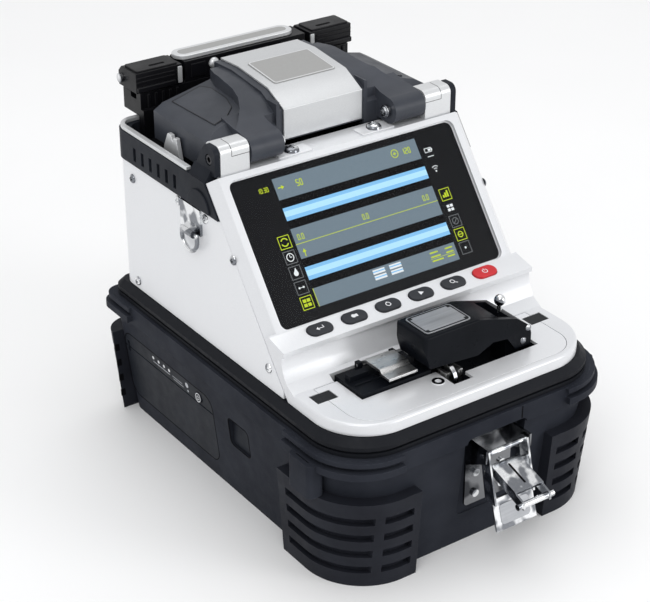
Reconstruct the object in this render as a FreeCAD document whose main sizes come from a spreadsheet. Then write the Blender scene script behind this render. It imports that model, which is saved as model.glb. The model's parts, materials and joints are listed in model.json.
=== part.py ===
"""Fibre fusion splicer: parametric document and one STEP file for each separate piece.

Frame: millimetres, +Z up, the screen and deck face -Y, X runs across the screen.
The origin is the middle of the underside, on the surface that the splicer stands on.
"""
import FreeCAD, Part
import math
import os
import Sketcher

Vector = FreeCAD.Vector
Rotation = FreeCAD.Rotation
Placement = FreeCAD.Placement

doc = FreeCAD.newDocument("splicer")
sheet = doc.addObject("Spreadsheet::Sheet", "Dim")

SIZES = {
    # white upper body
    "body_half": 76.0, "body_front": -107.0, "body_rear": 98.0, "body_front_round": 28.0,
    "body_rear_round": 9.0, "panel_thick": 2.0, "seam_level": 80.8, "panel_top": 152.5,
    "flange_edge": 60.0, "deck_level": 86.8, "cover_wall": 3.0,
    # screen slope: foot of the glass, tilt from the horizontal, distances up the slope
    "glass_foot_y": -41.15, "glass_foot_z": 108.5, "screen_tilt": 52.5, "glass_half": 67.4,
    "glass_length": 75.0, "glass_thick": 1.0, "glass_round": 4.0, "bezel_proud": 0.8,
    "bezel_length": 78.2, "seam_back": 4.2, "frame_fold": 71.6, "lcd_half": 58.0,
    "lcd_low": 3.2, "lcd_high": 73.2, "lcd_thick": 4.5,
    # key shelf and the hollow wall under it
    "shelf_front_y": -54.5, "shelf_front_z": 105.6, "wall_foot_y": -62.0, "lip_under_z": 103.2,
    "ledge_level": 170.5, "ledge_rear": 21.0, "ledge_half": 69.4,
    "key_y": -47.3, "key_z": 107.0, "key_pitch": 20.2, "key_length": 14.0, "key_width": 7.6,
    "key_tilt": 12.0,
    # lower tub
    "foot_half": 73.0, "foot_front": -104.0, "foot_rear": 100.5, "wall_level": 62.0,
    "wall_half": 80.0, "wall_front": -111.0, "wall_rear": 104.0, "rim_level": 72.0,
    "rim_half": 82.0, "rim_front": -112.5, "rim_rear": 105.5, "tub_round": 30.0,
    "tub_rear_round": 8.0, "tub_skin": 3.0, "inner_front": -100.0,
    "lip_reach": 3.0, "lip_end_x": 50.0, "lip_end_front": -64.0, "lip_end_rear": 80.0,
    # rubber rim
    "seal_half": 80.0, "seal_front": -110.6, "seal_rear": 103.2, "seal_inner": 72.0,
    # corner bumpers
    "bumper_foot_half": 81.0, "bumper_foot_front": -112.0, "bumper_foot_rear": 107.0,
    "bumper_half": 84.5, "bumper_front": -115.5, "bumper_rear": 111.0, "bumper_top": 49.0,
    "bumper_end_x": 40.0, "bumper_end_front": -60.0, "bumper_end_rear": 98.6,
    "slot_count": 4.0, "slot_pitch": 9.6, "slot_first": 8.0, "slot_tall": 4.2, "slot_deep": 3.0,
    # battery and its release
    "battery_near": 8.0, "battery_far": 96.6, "battery_low": 10.0, "battery_high": 50.0,
    "battery_inner": -20.0, "battery_round": 7.0, "battery_gap": 0.4,
    "check_key_y": 20.8, "check_key_z": 45.0, "check_key_radius": 3.0,
    "release_near": -25.0, "release_far": -7.0, "release_low": 31.5, "release_high": 47.5,
    # hinge of the wind cover
    "hinge_y": 12.5, "hinge_z": 178.5, "knuckle_radius": 6.8, "hinge_pin_radius": 2.5,
    "knuckle_inner": 52.9, "knuckle_outer": 69.3, "lug_inner": 33.5, "lug_outer": 52.3,
    "ear_outer": 72.6, "ear_inner": 69.6, "knuckle_front": 5.6, "knuckle_rear": 8.0,
    "knuckle_crest": 7.0, "knuckle_round": 4.0,
    # wind cover
    "cover_half": 66.3, "cover_near": 22.0, "cover_far": 74.0, "ridge_half": 27.5,
    "cover_low": 166.8, "cover_side_top": 181.5, "cover_top_inner": 190.5,
    "plate_half": 23.6, "plate_thick": 1.2,
    # black surround
    "surround_half": 77.0, "surround_inner": 71.5, "surround_low": 152.7, "surround_top": 168.5,
    "surround_rear": 98.6, "surround_rear_inner": 92.8, "trim_tall": 2.0,
    "vent_first": 37.6, "vent_pitch": 7.8, "vent_count": 6.0,
    # heater
    "heater_half": 66.5, "heater_near": 90.0, "heater_far": 108.0, "heater_low": 172.0,
    "heater_split": 184.8, "heater_top": 195.4, "heater_clamp_inner": 39.6,
    "heater_pin_y": 104.5, "heater_pin_z": 189.4, "heater_pin_radius": 1.5,
    "bar_left": -39.4, "bar_right": 32.5, "bar_top": 197.8,
    # cleaver on the deck
    "arm_left": -20.0, "arm_near": -89.0, "arm_far": -66.0,
    "arm_top": 111.0, "arm_low": 91.5, "arm_pivot_x": 41.0, "arm_pivot_z": 90.5,
    "arm_pin_radius": 1.6, "tray_left": -51.5, "tray_right": 49.0, "tray_near": -97.0,
    "tray_far": -59.0, "tray_low": 70.0, "tray_top": 84.6,
    "blade_radius": 9.0, "blade_x": -3.0, "blade_y": -84.0, "blade_z": 83.0,
    # front latch
    "latch_x": 7.0, "latch_face": -105.5, "latch_half": 14.0, "latch_pivot_y": -118.0,
    "latch_pivot_z": 57.0, "claw_pivot_y": -119.5, "claw_pivot_z": 48.0,
    # strap rings
    "ring_y": 22.0, "ring_x": 79.0, "ring_z": 139.0, "ring_wire": 1.1, "ring_half": 7.0,
    # running clearances
    "pin_gap": 0.06, "press_gap": 0.02,
}
# half the length of a cutter that runs right through
BEYOND = 140.0

# plain blocks: low x, high x, low y, high y, low z, high z
BLOCKS = {
    "strap_lug_hole": (83.0, 85.6, -88.0, -78.0, 45.0, 69.0),
    "slot_middle": (-44.0, 44.0, -BEYOND, BEYOND, 0, 60),
    "battery_slot": (-82, -75.5, 92.2, 94.8, 38.0, 44.6),
    "holder_opening": (-51.7, -3.8, -83.3, -60.0, 80, 90),
    "blade_opening": (-8.2, 3.4, -97.2, -60, 80, 90),
    "arm_opening": (2.0, 49.2, -91.0, -64.4, 80, 90),
    "tray_floor": (-70, 70, -50, 90, 81.2, 83.2),
    "tray_opening": (-30, 30, 10, 60, 80, 85),
    "board": (-60, 60, -24, 76, 86.2, 87.8),
    "surround_front_foot": (-90, 90, -40, -9, 140, 160),
    "v_block": (-9, 9, 43, 59, 160.8, 171.0),
    "v_slot": (-10, 10, 50.6, 51.4, 170.0, 172),
    "arc_gap": (-2.2, 2.2, 42, 60, 166.0, 172),
    "side_room": (-63.4, 63.4, 25.0, 71.0, 160, 182.2),
    "fiber_slot": (-70, 70, 49.8, 52.2, 160, 171.6),
    "holder_fence": (-49.5, -38.5, -70.5, -66.5, 88.6, 91.6),
    "holder_rail": (-49.5, -12.0, -74.9, -74.1, 88.0, 89.4),
    "anvil_post": (-12.5, -9.2, -77.5, -71.5, 84.0, 91.0),
    "carriage_slab": (-7.4, 2.6, -92.0, -70.0, 73.0, 76.5),
}
# plain rods: x, y and z of the start, radius, length
RODS = {
    "inlet_hole": (42, 94, 96, 4.6, 8),
    "inlet_body": (42, 86, 96, 4.5, 12.6),
    "inlet_bore": (42, 88, 96, 2.9, 12),
    "port_opening": (-13.0, -91.0, 80, 3.1, 10),
    "holder_post_bore": (-45, -63.0, 91.4, 0.81, 40),
    "knob_stem": (34.5, -78.0, 103.6, 1.2, 5.0),
    "holder_barrel": (-37.4, -63.0, 91.4, 1.5, 16.8),
    "holder_axle": (-40.0, -63.0, 91.4, 0.75, 22.0),
}
# rectangles with round corners: low u, high u, low v, high v, radius, radius at high v
PLANS = {
    "strap_lug_plan": (79.0, 88.0, -92.0, -74.0, 3.0),
    "plate_seat_plan": (-65.2, 65.2, -103.7, -62.8, 15.2, 1.0),
    "deck_sheet_plan": (-64.9, 64.9, -103.4, -63.1, 14.9, 0.8),
    "label_sheet_plan": (-18.5, 18.5, 0, 25.5, 1.6),
    "arm_label_sheet_plan": (-16.8, 10.2, -86.4, -68.6, 2.0),
}
# outlines: the two places of each corner
OUTLINES = {
    "guide_plate_edge": ((43.6, 160.8), (59.6, 160.8), (59.6, 168.5), (55.6, 176.5),
        (52.4, 176.5), (51.0, 173.6), (49.6, 176.0), (47.2, 176.0)),
    "centre_room_edge": ((25.5, 160), (25.5, 187), (37, 193.4), (62, 195.6), (75.5, 195.2),
        (75.5, 160)),
    "shoulder_plan": (
        (26.5, 24.0), (33.5, 24.0), (33.5, 13.0), (52.3, 13.0), (52.3, 20.0), (47.6, 25.0),
        (42.8, 31.0), (39.2, 38.0), (37.2, 46.0), (36.4, 56.0), (35.6, 65.0), (33.0, 73.5),
        (26.5, 73.5)),
    "shoulder_side": (
        (13.0, 176.0), (13.0, 185.25), (20.0, 186.4), (26.0, 188.6), (34.0, 193.4), (48.0, 195.8),
        (62.0, 197.0), (73.5, 196.4), (73.5, 183.0), (40.0, 183.0)),
    "holder_leaf_edge": ((-85.0, 92.0), (-85.0, 93.4), (-79.0, 93.6), (-77.6, 95.2),
        (-66.5, 95.2), (-62.4, 92.6), (-62.4, 91.0), (-67.0, 93.4), (-76.8, 93.4), (-78.4, 92.0)),
}


def all_sizes():
    """Every size under the name that the expressions use."""
    named = dict(SIZES)
    for table in (BLOCKS, RODS, PLANS):
        for shape, numbers in table.items():
            for place, number in enumerate(numbers):
                named["%s_n%d" % (shape, place)] = number
    for shape, corners in OUTLINES.items():
        for place, (u, v) in enumerate(corners):
            named["%s_u%d" % (shape, place)] = u
            named["%s_v%d" % (shape, place)] = v
    return named


for row, (alias, number) in enumerate(all_sizes().items(), start=1):
    sheet.set("A%d" % row, alias)
    sheet.set("B%d" % row, str(number))
    sheet.setAlias("B%d" % row, alias)
doc.recompute()


class Size:
    """A length that carries its number and the expression that gives it."""

    def __init__(self, number, text=None):
        self.number = float(number)
        self.text = text if text is not None else repr(round(float(number), 6))

    def __add__(self, other):
        other = size(other)
        return Size(self.number + other.number, "(%s + %s)" % (self.text, other.text))

    def __sub__(self, other):
        other = size(other)
        return Size(self.number - other.number, "(%s - %s)" % (self.text, other.text))

    def __mul__(self, other):
        other = size(other)
        return Size(self.number * other.number, "(%s * %s)" % (self.text, other.text))

    def __truediv__(self, other):
        other = size(other)
        return Size(self.number / other.number, "(%s / %s)" % (self.text, other.text))

    def __neg__(self):
        return Size(-self.number, "(0 - %s)" % self.text)

    def __radd__(self, other):
        return size(other) + self

    def __rsub__(self, other):
        return size(other) - self

    def __rmul__(self, other):
        return size(other) * self


def size(value):
    return value if isinstance(value, Size) else Size(value)


class Dimensions:
    """Each cell of the sheet, read by its alias."""

    def __getattr__(self, alias):
        return Size(sheet.get(alias), "Dim.%s" % alias)


def cells(shape, count):
    """The sheet's sizes for one row of a table."""
    return [getattr(d, "%s_n%d" % (shape, place)) for place in range(count)]


d = Dimensions()
PIECES = []
TILT = math.radians(d.screen_tilt.number)
SLOPE_RUN = Size(math.cos(TILT), "cos(Dim.screen_tilt * 1deg)")
SLOPE_RISE = Size(math.sin(TILT), "sin(Dim.screen_tilt * 1deg)")


# ---------------------------------------------------------------- drawing and solid helpers

def bind(obj, path, value):
    obj.setExpression(path, size(value).text)


def piece(label, obj):
    """Name a finished piece and keep it for the hand-out."""
    obj.Label = label
    PIECES.append(obj)
    return obj


def hold(sketch, kind, first, first_end, second, second_end, value):
    """Add a driving dimension between two sketch points."""
    value = size(value)
    index = sketch.addConstraint(
        Sketcher.Constraint(kind, first, first_end, second, second_end, value.number))
    sketch.setExpression("Constraints[%d]" % index, value.text)


def outline(*points):
    """A closed outline of straight runs; every corner is dimensioned from the origin."""
    def draw(sketch):
        places = [(size(u), size(v)) for u, v in points]
        count = len(places)
        for i, (u, v) in enumerate(places):
            following = places[(i + 1) % count]
            sketch.addGeometry(Part.LineSegment(
                Vector(u.number, v.number, 0),
                Vector(following[0].number, following[1].number, 0)))
        for i in range(count):
            sketch.addConstraint(Sketcher.Constraint("Coincident", i, 2, (i + 1) % count, 1))
        for i, (u, v) in enumerate(places):
            hold(sketch, "DistanceX", -1, 1, i, 1, u)
            hold(sketch, "DistanceY", -1, 1, i, 1, v)
    return draw


def rounded(low_u, high_u, low_v, high_v, round_low, round_high=None):
    """A rectangle with round corners; the corners at high v may have their own radius."""
    round_high = round_low if round_high is None else round_high

    def draw(sketch):
        u0, u1, v0, v1 = (size(n) for n in (low_u, high_u, low_v, high_v))
        ra, rb = size(round_low), size(round_high)
        a, b = ra.number, rb.number
        x0, x1, y0, y1 = u0.number, u1.number, v0.number, v1.number
        quarter = math.pi / 2
        lines = [((x0 + a, y0), (x1 - a, y0)), ((x1, y0 + a), (x1, y1 - b)),
                 ((x1 - b, y1), (x0 + b, y1)), ((x0, y1 - b), (x0, y0 + a))]
        corners = [((x1 - a, y0 + a), a, 3), ((x1 - b, y1 - b), b, 0),
                   ((x0 + b, y1 - b), b, 1), ((x0 + a, y0 + a), a, 2)]
        for (start, end), (centre, radius, turn) in zip(lines, corners):
            sketch.addGeometry(Part.LineSegment(Vector(*start, 0), Vector(*end, 0)))
            circle = Part.Circle(Vector(*centre, 0), Vector(0, 0, 1), radius)
            sketch.addGeometry(Part.ArcOfCircle(circle, turn * quarter, (turn + 1) * quarter))
        for i in range(4):
            line, arc, following = 2 * i, 2 * i + 1, (2 * i + 2) % 8
            sketch.addConstraint(Sketcher.Constraint("Tangent", line, 2, arc, 1))
            sketch.addConstraint(Sketcher.Constraint("Tangent", arc, 2, following, 1))
        for line, kind in ((0, "Horizontal"), (2, "Vertical"), (4, "Horizontal"), (6, "Vertical")):
            sketch.addConstraint(Sketcher.Constraint(kind, line))
        for arc, radius in ((1, ra), (3, rb)):
            index = sketch.addConstraint(Sketcher.Constraint("Radius", arc, radius.number))
            sketch.setExpression("Constraints[%d]" % index, radius.text)
        sketch.addConstraint(Sketcher.Constraint("Equal", 1, 7))
        sketch.addConstraint(Sketcher.Constraint("Equal", 3, 5))
        hold(sketch, "DistanceY", -1, 1, 0, 1, v0)
        hold(sketch, "DistanceX", -1, 1, 2, 1, u1)
        hold(sketch, "DistanceY", -1, 1, 4, 1, v1)
        hold(sketch, "DistanceX", -1, 1, 6, 1, u0)
    return draw


def table_outline(name):
    count = len(OUTLINES[name])
    return outline(*[(getattr(d, "%s_u%d" % (name, place)), getattr(d, "%s_v%d" % (name, place)))
                     for place in range(count)])


def table_rounded(name):
    return rounded(*cells(name, len(PLANS[name])))


def new_body(name):
    return doc.addObject("PartDesign::Body", name)


def sketch_on(body, role, offset, draw):
    """A sketch on one of the body's own origin planes, moved along its normal by offset."""
    plane = [f for f in body.Origin.OriginFeatures if f.Role == role][0]
    sketch = body.newObject("Sketcher::SketchObject", body.Name + "_sketch")
    sketch.AttachmentSupport = [(plane, "")]
    sketch.MapMode = "FlatFace"
    bind(sketch, "AttachmentOffset.Base.z", offset)
    draw(sketch)
    sketch.Visibility = False
    return sketch


def span(role, low, high):
    """Offset and length of a pad that fills low to high along the plane's axis."""
    low, high = size(low), size(high)
    return (-high if role == "XZ_Plane" else low), high - low


def pad(body, role, draw, low, high):
    """Add the outline between two places on the plane's axis (Z, Y or X)."""
    offset, length = span(role, low, high)
    feature = body.newObject("PartDesign::Pad", body.Name + "_pad")
    feature.Profile = sketch_on(body, role, offset, draw)
    bind(feature, "Length", length)
    doc.recompute()
    return feature


def pocket(body, role, draw, low, high):
    """Take the outline away between two places on the plane's axis."""
    offset, length = span(role, low, high)
    feature = body.newObject("PartDesign::Pocket", body.Name + "_pocket")
    feature.Profile = sketch_on(body, role, offset, draw)
    feature.Reversed = True
    bind(feature, "Length", length)
    doc.recompute()
    return feature


def loft(body, low_draw, low, high_draw, high, kind="PartDesign::AdditiveLoft"):
    """Join two outlines at two levels."""
    feature = body.newObject(kind, body.Name + "_loft")
    feature.Profile = sketch_on(body, "XY_Plane", low, low_draw)
    feature.Sections = [sketch_on(body, "XY_Plane", high, high_draw)]
    feature.Ruled = True
    doc.recompute()
    return feature


def prism(name, role, draw, low, high):
    """A body made of one pad."""
    body = new_body(name)
    pad(body, role, draw, low, high)
    return body


def fillet(body, value, keep):
    tip = body.Tip
    names = ["Edge%d" % (i + 1) for i, e in enumerate(tip.Shape.Edges) if keep(e)]
    feature = body.newObject("PartDesign::Fillet", body.Name + "_fillet")
    feature.Base = (tip, names)
    bind(feature, "Radius", value)
    doc.recompute()
    return feature


def chamfer(body, value, keep):
    tip = body.Tip
    names = ["Edge%d" % (i + 1) for i, e in enumerate(tip.Shape.Edges) if keep(e)]
    feature = body.newObject("PartDesign::Chamfer", body.Name + "_chamfer")
    feature.Base = (tip, names)
    bind(feature, "Size", value)
    doc.recompute()
    return feature


def along(edge, axis):
    """True for a straight edge that runs along the axis."""
    if len(edge.Vertexes) != 2 or edge.Curve.TypeId != "Part::GeomLine":
        return False
    way = edge.Vertexes[1].Point - edge.Vertexes[0].Point
    return abs(abs(way.normalize().dot(axis)) - 1) < 1e-6


X_AXIS, Y_AXIS, Z_AXIS = Vector(1, 0, 0), Vector(0, 1, 0), Vector(0, 0, 1)


def block(name, *places):
    """A box between six places, given here or in the table of blocks."""
    box = doc.addObject("Part::Box", name)
    x0, x1, y0, y1, z0, z1 = (size(n) for n in (places or cells(name, 6)))
    bind(box, "Length", x1 - x0)
    bind(box, "Width", y1 - y0)
    bind(box, "Height", z1 - z0)
    move(box, x0, y0, z0)
    return box


def move(obj, x, y, z, axis=None, degrees=0.0):
    """Place an object; its base follows the sheet."""
    turn = Rotation(axis, degrees) if axis is not None else Rotation()
    x, y, z = size(x), size(y), size(z)
    obj.Placement = Placement(Vector(x.number, y.number, z.number), turn)
    bind(obj, "Placement.Base.x", x)
    bind(obj, "Placement.Base.y", y)
    bind(obj, "Placement.Base.z", z)
    return obj


def rod(name, axis, *places):
    """A cylinder that starts at a point and runs along X, Y or Z."""
    x, y, z, radius, length = places or cells(name, 5)
    cylinder = doc.addObject("Part::Cylinder", name)
    bind(cylinder, "Radius", radius)
    bind(cylinder, "Height", length)
    turns = {"X": (Y_AXIS, 90), "Y": (X_AXIS, -90), "Z": (None, 0)}
    return move(cylinder, x, y, z, *turns[axis])


def ball(name, x, y, z, radius):
    sphere = doc.addObject("Part::Sphere", name)
    bind(sphere, "Radius", radius)
    return move(sphere, x, y, z)


def cut(base, *tools):
    """Take the tools away from the base."""
    feature = doc.addObject("Part::Cut", "cut")
    feature.Base = base
    feature.Tool = tools[0] if len(tools) == 1 else group(*tools)
    doc.recompute()
    return feature


def fuse(*shapes):
    feature = doc.addObject("Part::MultiFuse", "fuse")
    feature.Shapes = list(shapes)
    doc.recompute()
    return feature


def common(first, second):
    feature = doc.addObject("Part::Common", "common")
    feature.Base = first
    feature.Tool = second
    doc.recompute()
    return feature


def group(*shapes):
    """Separate solids that share one node."""
    feature = doc.addObject("Part::Compound", "group")
    feature.Links = list(shapes)
    doc.recompute()
    return feature


def mirrored(obj):
    """The same piece on the other side of the middle plane."""
    feature = doc.addObject("Part::Mirroring", "mirror")
    feature.Source = obj
    feature.Normal = X_AXIS
    doc.recompute()
    return feature


def slope_y(along_slope, out=0.0):
    return d.glass_foot_y + size(along_slope) * SLOPE_RUN - size(out) * SLOPE_RISE


def slope_z(along_slope, out=0.0):
    return d.glass_foot_z + size(along_slope) * SLOPE_RISE + size(out) * SLOPE_RUN


def slope_plate(name, half, low, high, inner, outer, radius):
    """A plate parallel to the glass: half width, two places up the slope, two depths."""
    plate = prism(name, "XY_Plane", rounded(-half, half, low, high, radius), inner, outer)
    return move(plate, 0, d.glass_foot_y, d.glass_foot_z, X_AXIS, d.screen_tilt.number)


# ---------------------------------------------------------------- lower half

def tub_ring(half, front, rear, grow=0.0):
    """Plan outline of the tub, grown by a distance."""
    return rounded(-(half + grow), half + grow, front - grow, rear + grow,
                   d.tub_round, d.tub_rear_round)


def corner_lips():
    """Two ribs round each corner of the tub."""
    ribs = []
    for low, high, reach in ((63.6, 67.2, d.lip_reach), (69.4, 71.8, d.lip_reach - 1.2)):
        ribs.append(prism("lip_rib", "XY_Plane",
                          tub_ring(d.rim_half, d.rim_front, d.rim_rear, reach), low, high))
    stack = fuse(*ribs)
    gaps = group(
        block("lip_gap", -d.lip_end_x, d.lip_end_x, -BEYOND, BEYOND, 60, 76),
        block("lip_side_gap", -BEYOND, BEYOND, d.lip_end_front, d.lip_end_rear, 60, 76))
    return cut(stack, gaps)


def strap_lug(side):
    """Moulded lug beside a front corner."""
    lug = prism("strap_lug", "XY_Plane", table_rounded("strap_lug_plan"), 49.3, 67.0)
    hole = block("strap_lug_hole")
    shaped = cut(lug, hole)
    return shaped if side > 0 else mirrored(shaped)


def base_tub():
    body = new_body("tub_body")
    loft(body, tub_ring(d.foot_half, d.foot_front, d.foot_rear), 0,
         tub_ring(d.wall_half, d.wall_front, d.wall_rear), d.wall_level)
    pad(body, "XY_Plane", tub_ring(d.rim_half, d.rim_front, d.rim_rear), d.wall_level, d.rim_level)
    skin = d.tub_skin
    inner_round = d.tub_round - skin
    rear_round = d.tub_rear_round - skin
    loft(body,
         rounded(-(d.foot_half - skin), d.foot_half - skin, d.inner_front, d.foot_rear - skin,
                 inner_round, rear_round), skin,
         rounded(-(d.wall_half - skin), d.wall_half - skin, d.inner_front, d.wall_rear - skin,
                 inner_round, rear_round), d.rim_level + 1,
         "PartDesign::SubtractiveLoft")
    solid = fuse(body, corner_lips(), strap_lug(1), strap_lug(-1))
    # the two lugs and the lips end at the outer wall: clear the hollow again
    hollow = new_body("tub_hollow")
    loft(hollow,
         rounded(-(d.foot_half - skin), d.foot_half - skin, d.inner_front, d.foot_rear - skin,
                 inner_round, rear_round), skin,
         rounded(-(d.wall_half - skin), d.wall_half - skin, d.inner_front, d.wall_rear - skin,
                 inner_round, rear_round), d.rim_level + 1)
    gap = d.battery_gap
    battery_hole = prism("battery_hole", "YZ_Plane",
                         rounded(d.battery_near - gap, d.battery_far + gap, d.battery_low - gap,
                                 d.battery_high + gap, d.battery_round + gap), -95, -60)
    release_hole = prism("release_hole", "YZ_Plane",
                         rounded(d.release_near - gap, d.release_far + gap, d.release_low - gap,
                                 d.release_high + gap, 3.0), -95, -60)
    latch_recess = prism("latch_recess", "XZ_Plane",
                         rounded(d.latch_x - 18.5, d.latch_x + 18.5, 18.0, 64.5, 3.0),
                         -130, d.latch_face)
    return piece("base_tub", cut(solid, hollow, battery_hole, release_hole, latch_recess))


def rim_seal():
    body = new_body("seal_body")
    ring = rounded(-d.seal_half, d.seal_half, d.seal_front, d.seal_rear,
                   d.tub_round - 1, d.tub_rear_round)
    pad(body, "XY_Plane", ring, d.rim_level, d.seam_level - 0.2)
    top = d.seam_level.number - 0.2
    chamfer(body, 3.2, lambda e: abs(e.CenterOfMass.z - top) < 1e-4)
    pocket(body, "XY_Plane",
           rounded(-d.seal_inner, d.seal_inner, d.body_front + 6, d.body_rear - 6,
                   d.body_front_round - 6, 6.0), d.rim_level - 1, d.seam_level + 1)
    groove_outer = block("groove_block", -BEYOND, BEYOND, -BEYOND, BEYOND,
                         d.rim_level + 2.2, d.rim_level + 3.4)
    groove_core = prism("groove_core", "XY_Plane",
                        rounded(-(d.seal_half - 1.4), d.seal_half - 1.4, d.seal_front + 1.4,
                                d.seal_rear - 1.4, d.tub_round - 2.4, d.tub_rear_round - 1.4),
                        d.rim_level, d.rim_level + 6)
    return piece("rim_seal", cut(body, cut(groove_outer, groove_core)))


def corner_bumpers():
    """Four soft corner pieces with rows of slots."""
    outer = new_body("bumper_outer")
    loft(outer, rounded(-d.bumper_foot_half, d.bumper_foot_half, d.bumper_foot_front,
                        d.bumper_foot_rear, d.tub_round + 3, d.tub_rear_round + 5), 0,
         rounded(-d.bumper_half, d.bumper_half, d.bumper_front, d.bumper_rear,
                 d.tub_round + 4, d.tub_rear_round + 6), d.bumper_top)
    tub = new_body("bumper_seat")
    # the seat follows the tub's drafted wall
    loft(tub, tub_ring(d.foot_half, d.foot_front, d.foot_rear), 0,
         tub_ring(d.wall_half, d.wall_front, d.wall_rear), d.wall_level)
    middle = group(
        block("bumper_gap", -d.bumper_end_x, d.bumper_end_x, -BEYOND, BEYOND, -5, 70),
        block("bumper_gap", -BEYOND, BEYOND, d.bumper_end_front, d.bumper_end_rear, -5, 70))
    ring = cut(cut(outer, tub), middle)
    deep = d.slot_deep
    core = new_body("slot_core")
    loft(core, rounded(-(d.bumper_foot_half - deep), d.bumper_foot_half - deep,
                       d.bumper_foot_front + deep, d.bumper_foot_rear - deep,
                       d.tub_round, d.tub_rear_round + 2), 0,
         rounded(-(d.bumper_half - deep), d.bumper_half - deep, d.bumper_front + deep,
                 d.bumper_rear - deep, d.tub_round + 1, d.tub_rear_round + 3), d.bumper_top)
    rows = []
    for row in range(int(d.slot_count.number)):
        low = d.slot_first + d.slot_pitch * row
        rows.append(block("slot_row", -BEYOND, BEYOND, -BEYOND, BEYOND, low, low + d.slot_tall))
    ribs = [core]
    for x in (-62.0, 62.0):
        ribs.append(block("slot_rib", x - 2.2, x + 2.2, -BEYOND, BEYOND, 0, 60))
    ribs.append(block("slot_middle"))
    ribs.append(block("slot_end", -BEYOND, BEYOND, d.bumper_end_front - 6,
                      d.bumper_end_rear + 1.5, 0, 60))
    slots = cut(group(*rows), fuse(*ribs))
    return piece("corner_bumpers", cut(ring, slots))


def battery():
    """Pack with its face in the tub's left wall, and the key that lights its gauge."""
    draft = (d.wall_half - d.foot_half) / d.wall_level
    face_low = -(d.foot_half + draft * d.battery_low)
    face_high = -(d.foot_half + draft * d.battery_high)
    body = new_body("battery_body")
    pad(body, "XZ_Plane",
        outline((face_low, d.battery_low), (d.battery_inner, d.battery_low),
                (d.battery_inner, d.battery_high), (face_high, d.battery_high)),
        d.battery_near, d.battery_far)
    fillet(body, d.battery_round, lambda e: len(e.Vertexes) == 2 and abs(
        (e.Vertexes[1].Point - e.Vertexes[0].Point).x) > 40)
    key_hole = rod("check_key_hole", "X", -85, d.check_key_y, d.check_key_z,
                   d.check_key_radius + 0.15, 12)
    finger_slot = block("battery_slot")
    groove = prism("battery_groove", "YZ_Plane",
                   outline((d.battery_near, 40.6), (d.battery_far, 40.6),
                           (d.battery_far, 41.4), (d.battery_near, 41.4)), -82, -77.1)
    piece("battery_pack", cut(body, key_hole, finger_slot, groove))
    piece("battery_check_key", rod("check_key", "X", -78.6, d.check_key_y, d.check_key_z,
                                   d.check_key_radius, 3.6))


def battery_release():
    button = prism("release_plate", "YZ_Plane",
                   rounded(d.release_near, d.release_far, d.release_low, d.release_high, 2.6),
                   -75.2, -72.0)
    return piece("battery_release_button", button)


# ---------------------------------------------------------------- white upper body

def side_panel(side):
    """Sheet panel with a flange bent round the rear corner."""
    outer, thick, rear, bend = d.body_half, d.panel_thick, d.body_rear, d.body_rear_round

    def plan(sketch):
        o, t, r, b = outer.number, thick.number, rear.number, bend.number
        f, e = -54.0, d.flange_edge.number
        half_pi = math.pi / 2
        runs = [((-o, f), (-o, r - b)), None, ((-o + b, r), (-e, r)), ((-e, r), (-e, r - t)),
                ((-e, r - t), (-o + b, r - t)), None, ((-o + t, r - b), (-o + t, f)),
                ((-o + t, f), (-o, f))]
        for i, run in enumerate(runs):
            if run is None:
                radius = b if i == 1 else b - t
                circle = Part.Circle(Vector(-o + b, r - b, 0), Vector(0, 0, 1), radius)
                sketch.addGeometry(Part.ArcOfCircle(circle, half_pi, math.pi))
            else:
                sketch.addGeometry(Part.LineSegment(Vector(*run[0], 0), Vector(*run[1], 0)))
        join = Sketcher.Constraint
        sketch.addConstraint([
            join("Tangent", 0, 2, 1, 2), join("Tangent", 1, 1, 2, 1), join("Coincident", 2, 2, 3, 1),
            join("Coincident", 3, 2, 4, 1), join("Tangent", 4, 2, 5, 1), join("Tangent", 5, 2, 6, 1),
            join("Coincident", 6, 2, 7, 1), join("Coincident", 7, 2, 0, 1),
            join("Vertical", 0), join("Horizontal", 2), join("Vertical", 3), join("Horizontal", 4),
            join("Vertical", 6), join("Horizontal", 7), join("Coincident", 1, 3, 5, 3)])
        hold(sketch, "DistanceX", -1, 1, 0, 1, -outer)
        hold(sketch, "DistanceY", -1, 1, 0, 1, f)
        hold(sketch, "DistanceY", -1, 1, 2, 2, rear)
        hold(sketch, "DistanceX", -1, 1, 2, 2, -d.flange_edge)
        hold(sketch, "DistanceY", -1, 1, 4, 1, rear - thick)
        index = sketch.addConstraint(Sketcher.Constraint("Radius", 1, bend.number))
        sketch.setExpression("Constraints[%d]" % index, bend.text)

    body = new_body("side_panel_body")
    pad(body, "XY_Plane", plan, d.seam_level, d.panel_top)
    back = d.seam_back + 0.3
    pocket(body, "YZ_Plane",
           outline((slope_y(-60, -back), slope_z(-60, -back)), (slope_y(90, -back), slope_z(90, -back)),
                   (slope_y(90, 60), slope_z(90, 60)), (slope_y(-60, 60), slope_z(-60, 60))),
           -90, -60)
    return piece("side_panel_left", body) if side < 0 else piece("side_panel_right", mirrored(body))


LOUVRES = 7


def rear_panel():
    edge = d.flange_edge - 0.2
    plate = block("rear_plate", -edge, edge, d.body_rear - d.panel_thick, d.body_rear,
                  d.seam_level, d.panel_top)
    louvres = []
    for row in range(LOUVRES):
        louvres.append(prism("louvre", "XZ_Plane",
                             rounded(-30, 30, 108 + 5 * row, 110 + 5 * row, 0.98),
                             d.body_rear - 4, d.body_rear + 2))
    inlet = rod("inlet_hole", "Y")
    return piece("rear_panel", cut(plate, inlet, *louvres))


def power_inlet():
    """Round power inlet held in the rear panel."""
    piece("power_inlet", cut(rod("inlet_body", "Y"),
                             rod("inlet_bore", "Y")))


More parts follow.
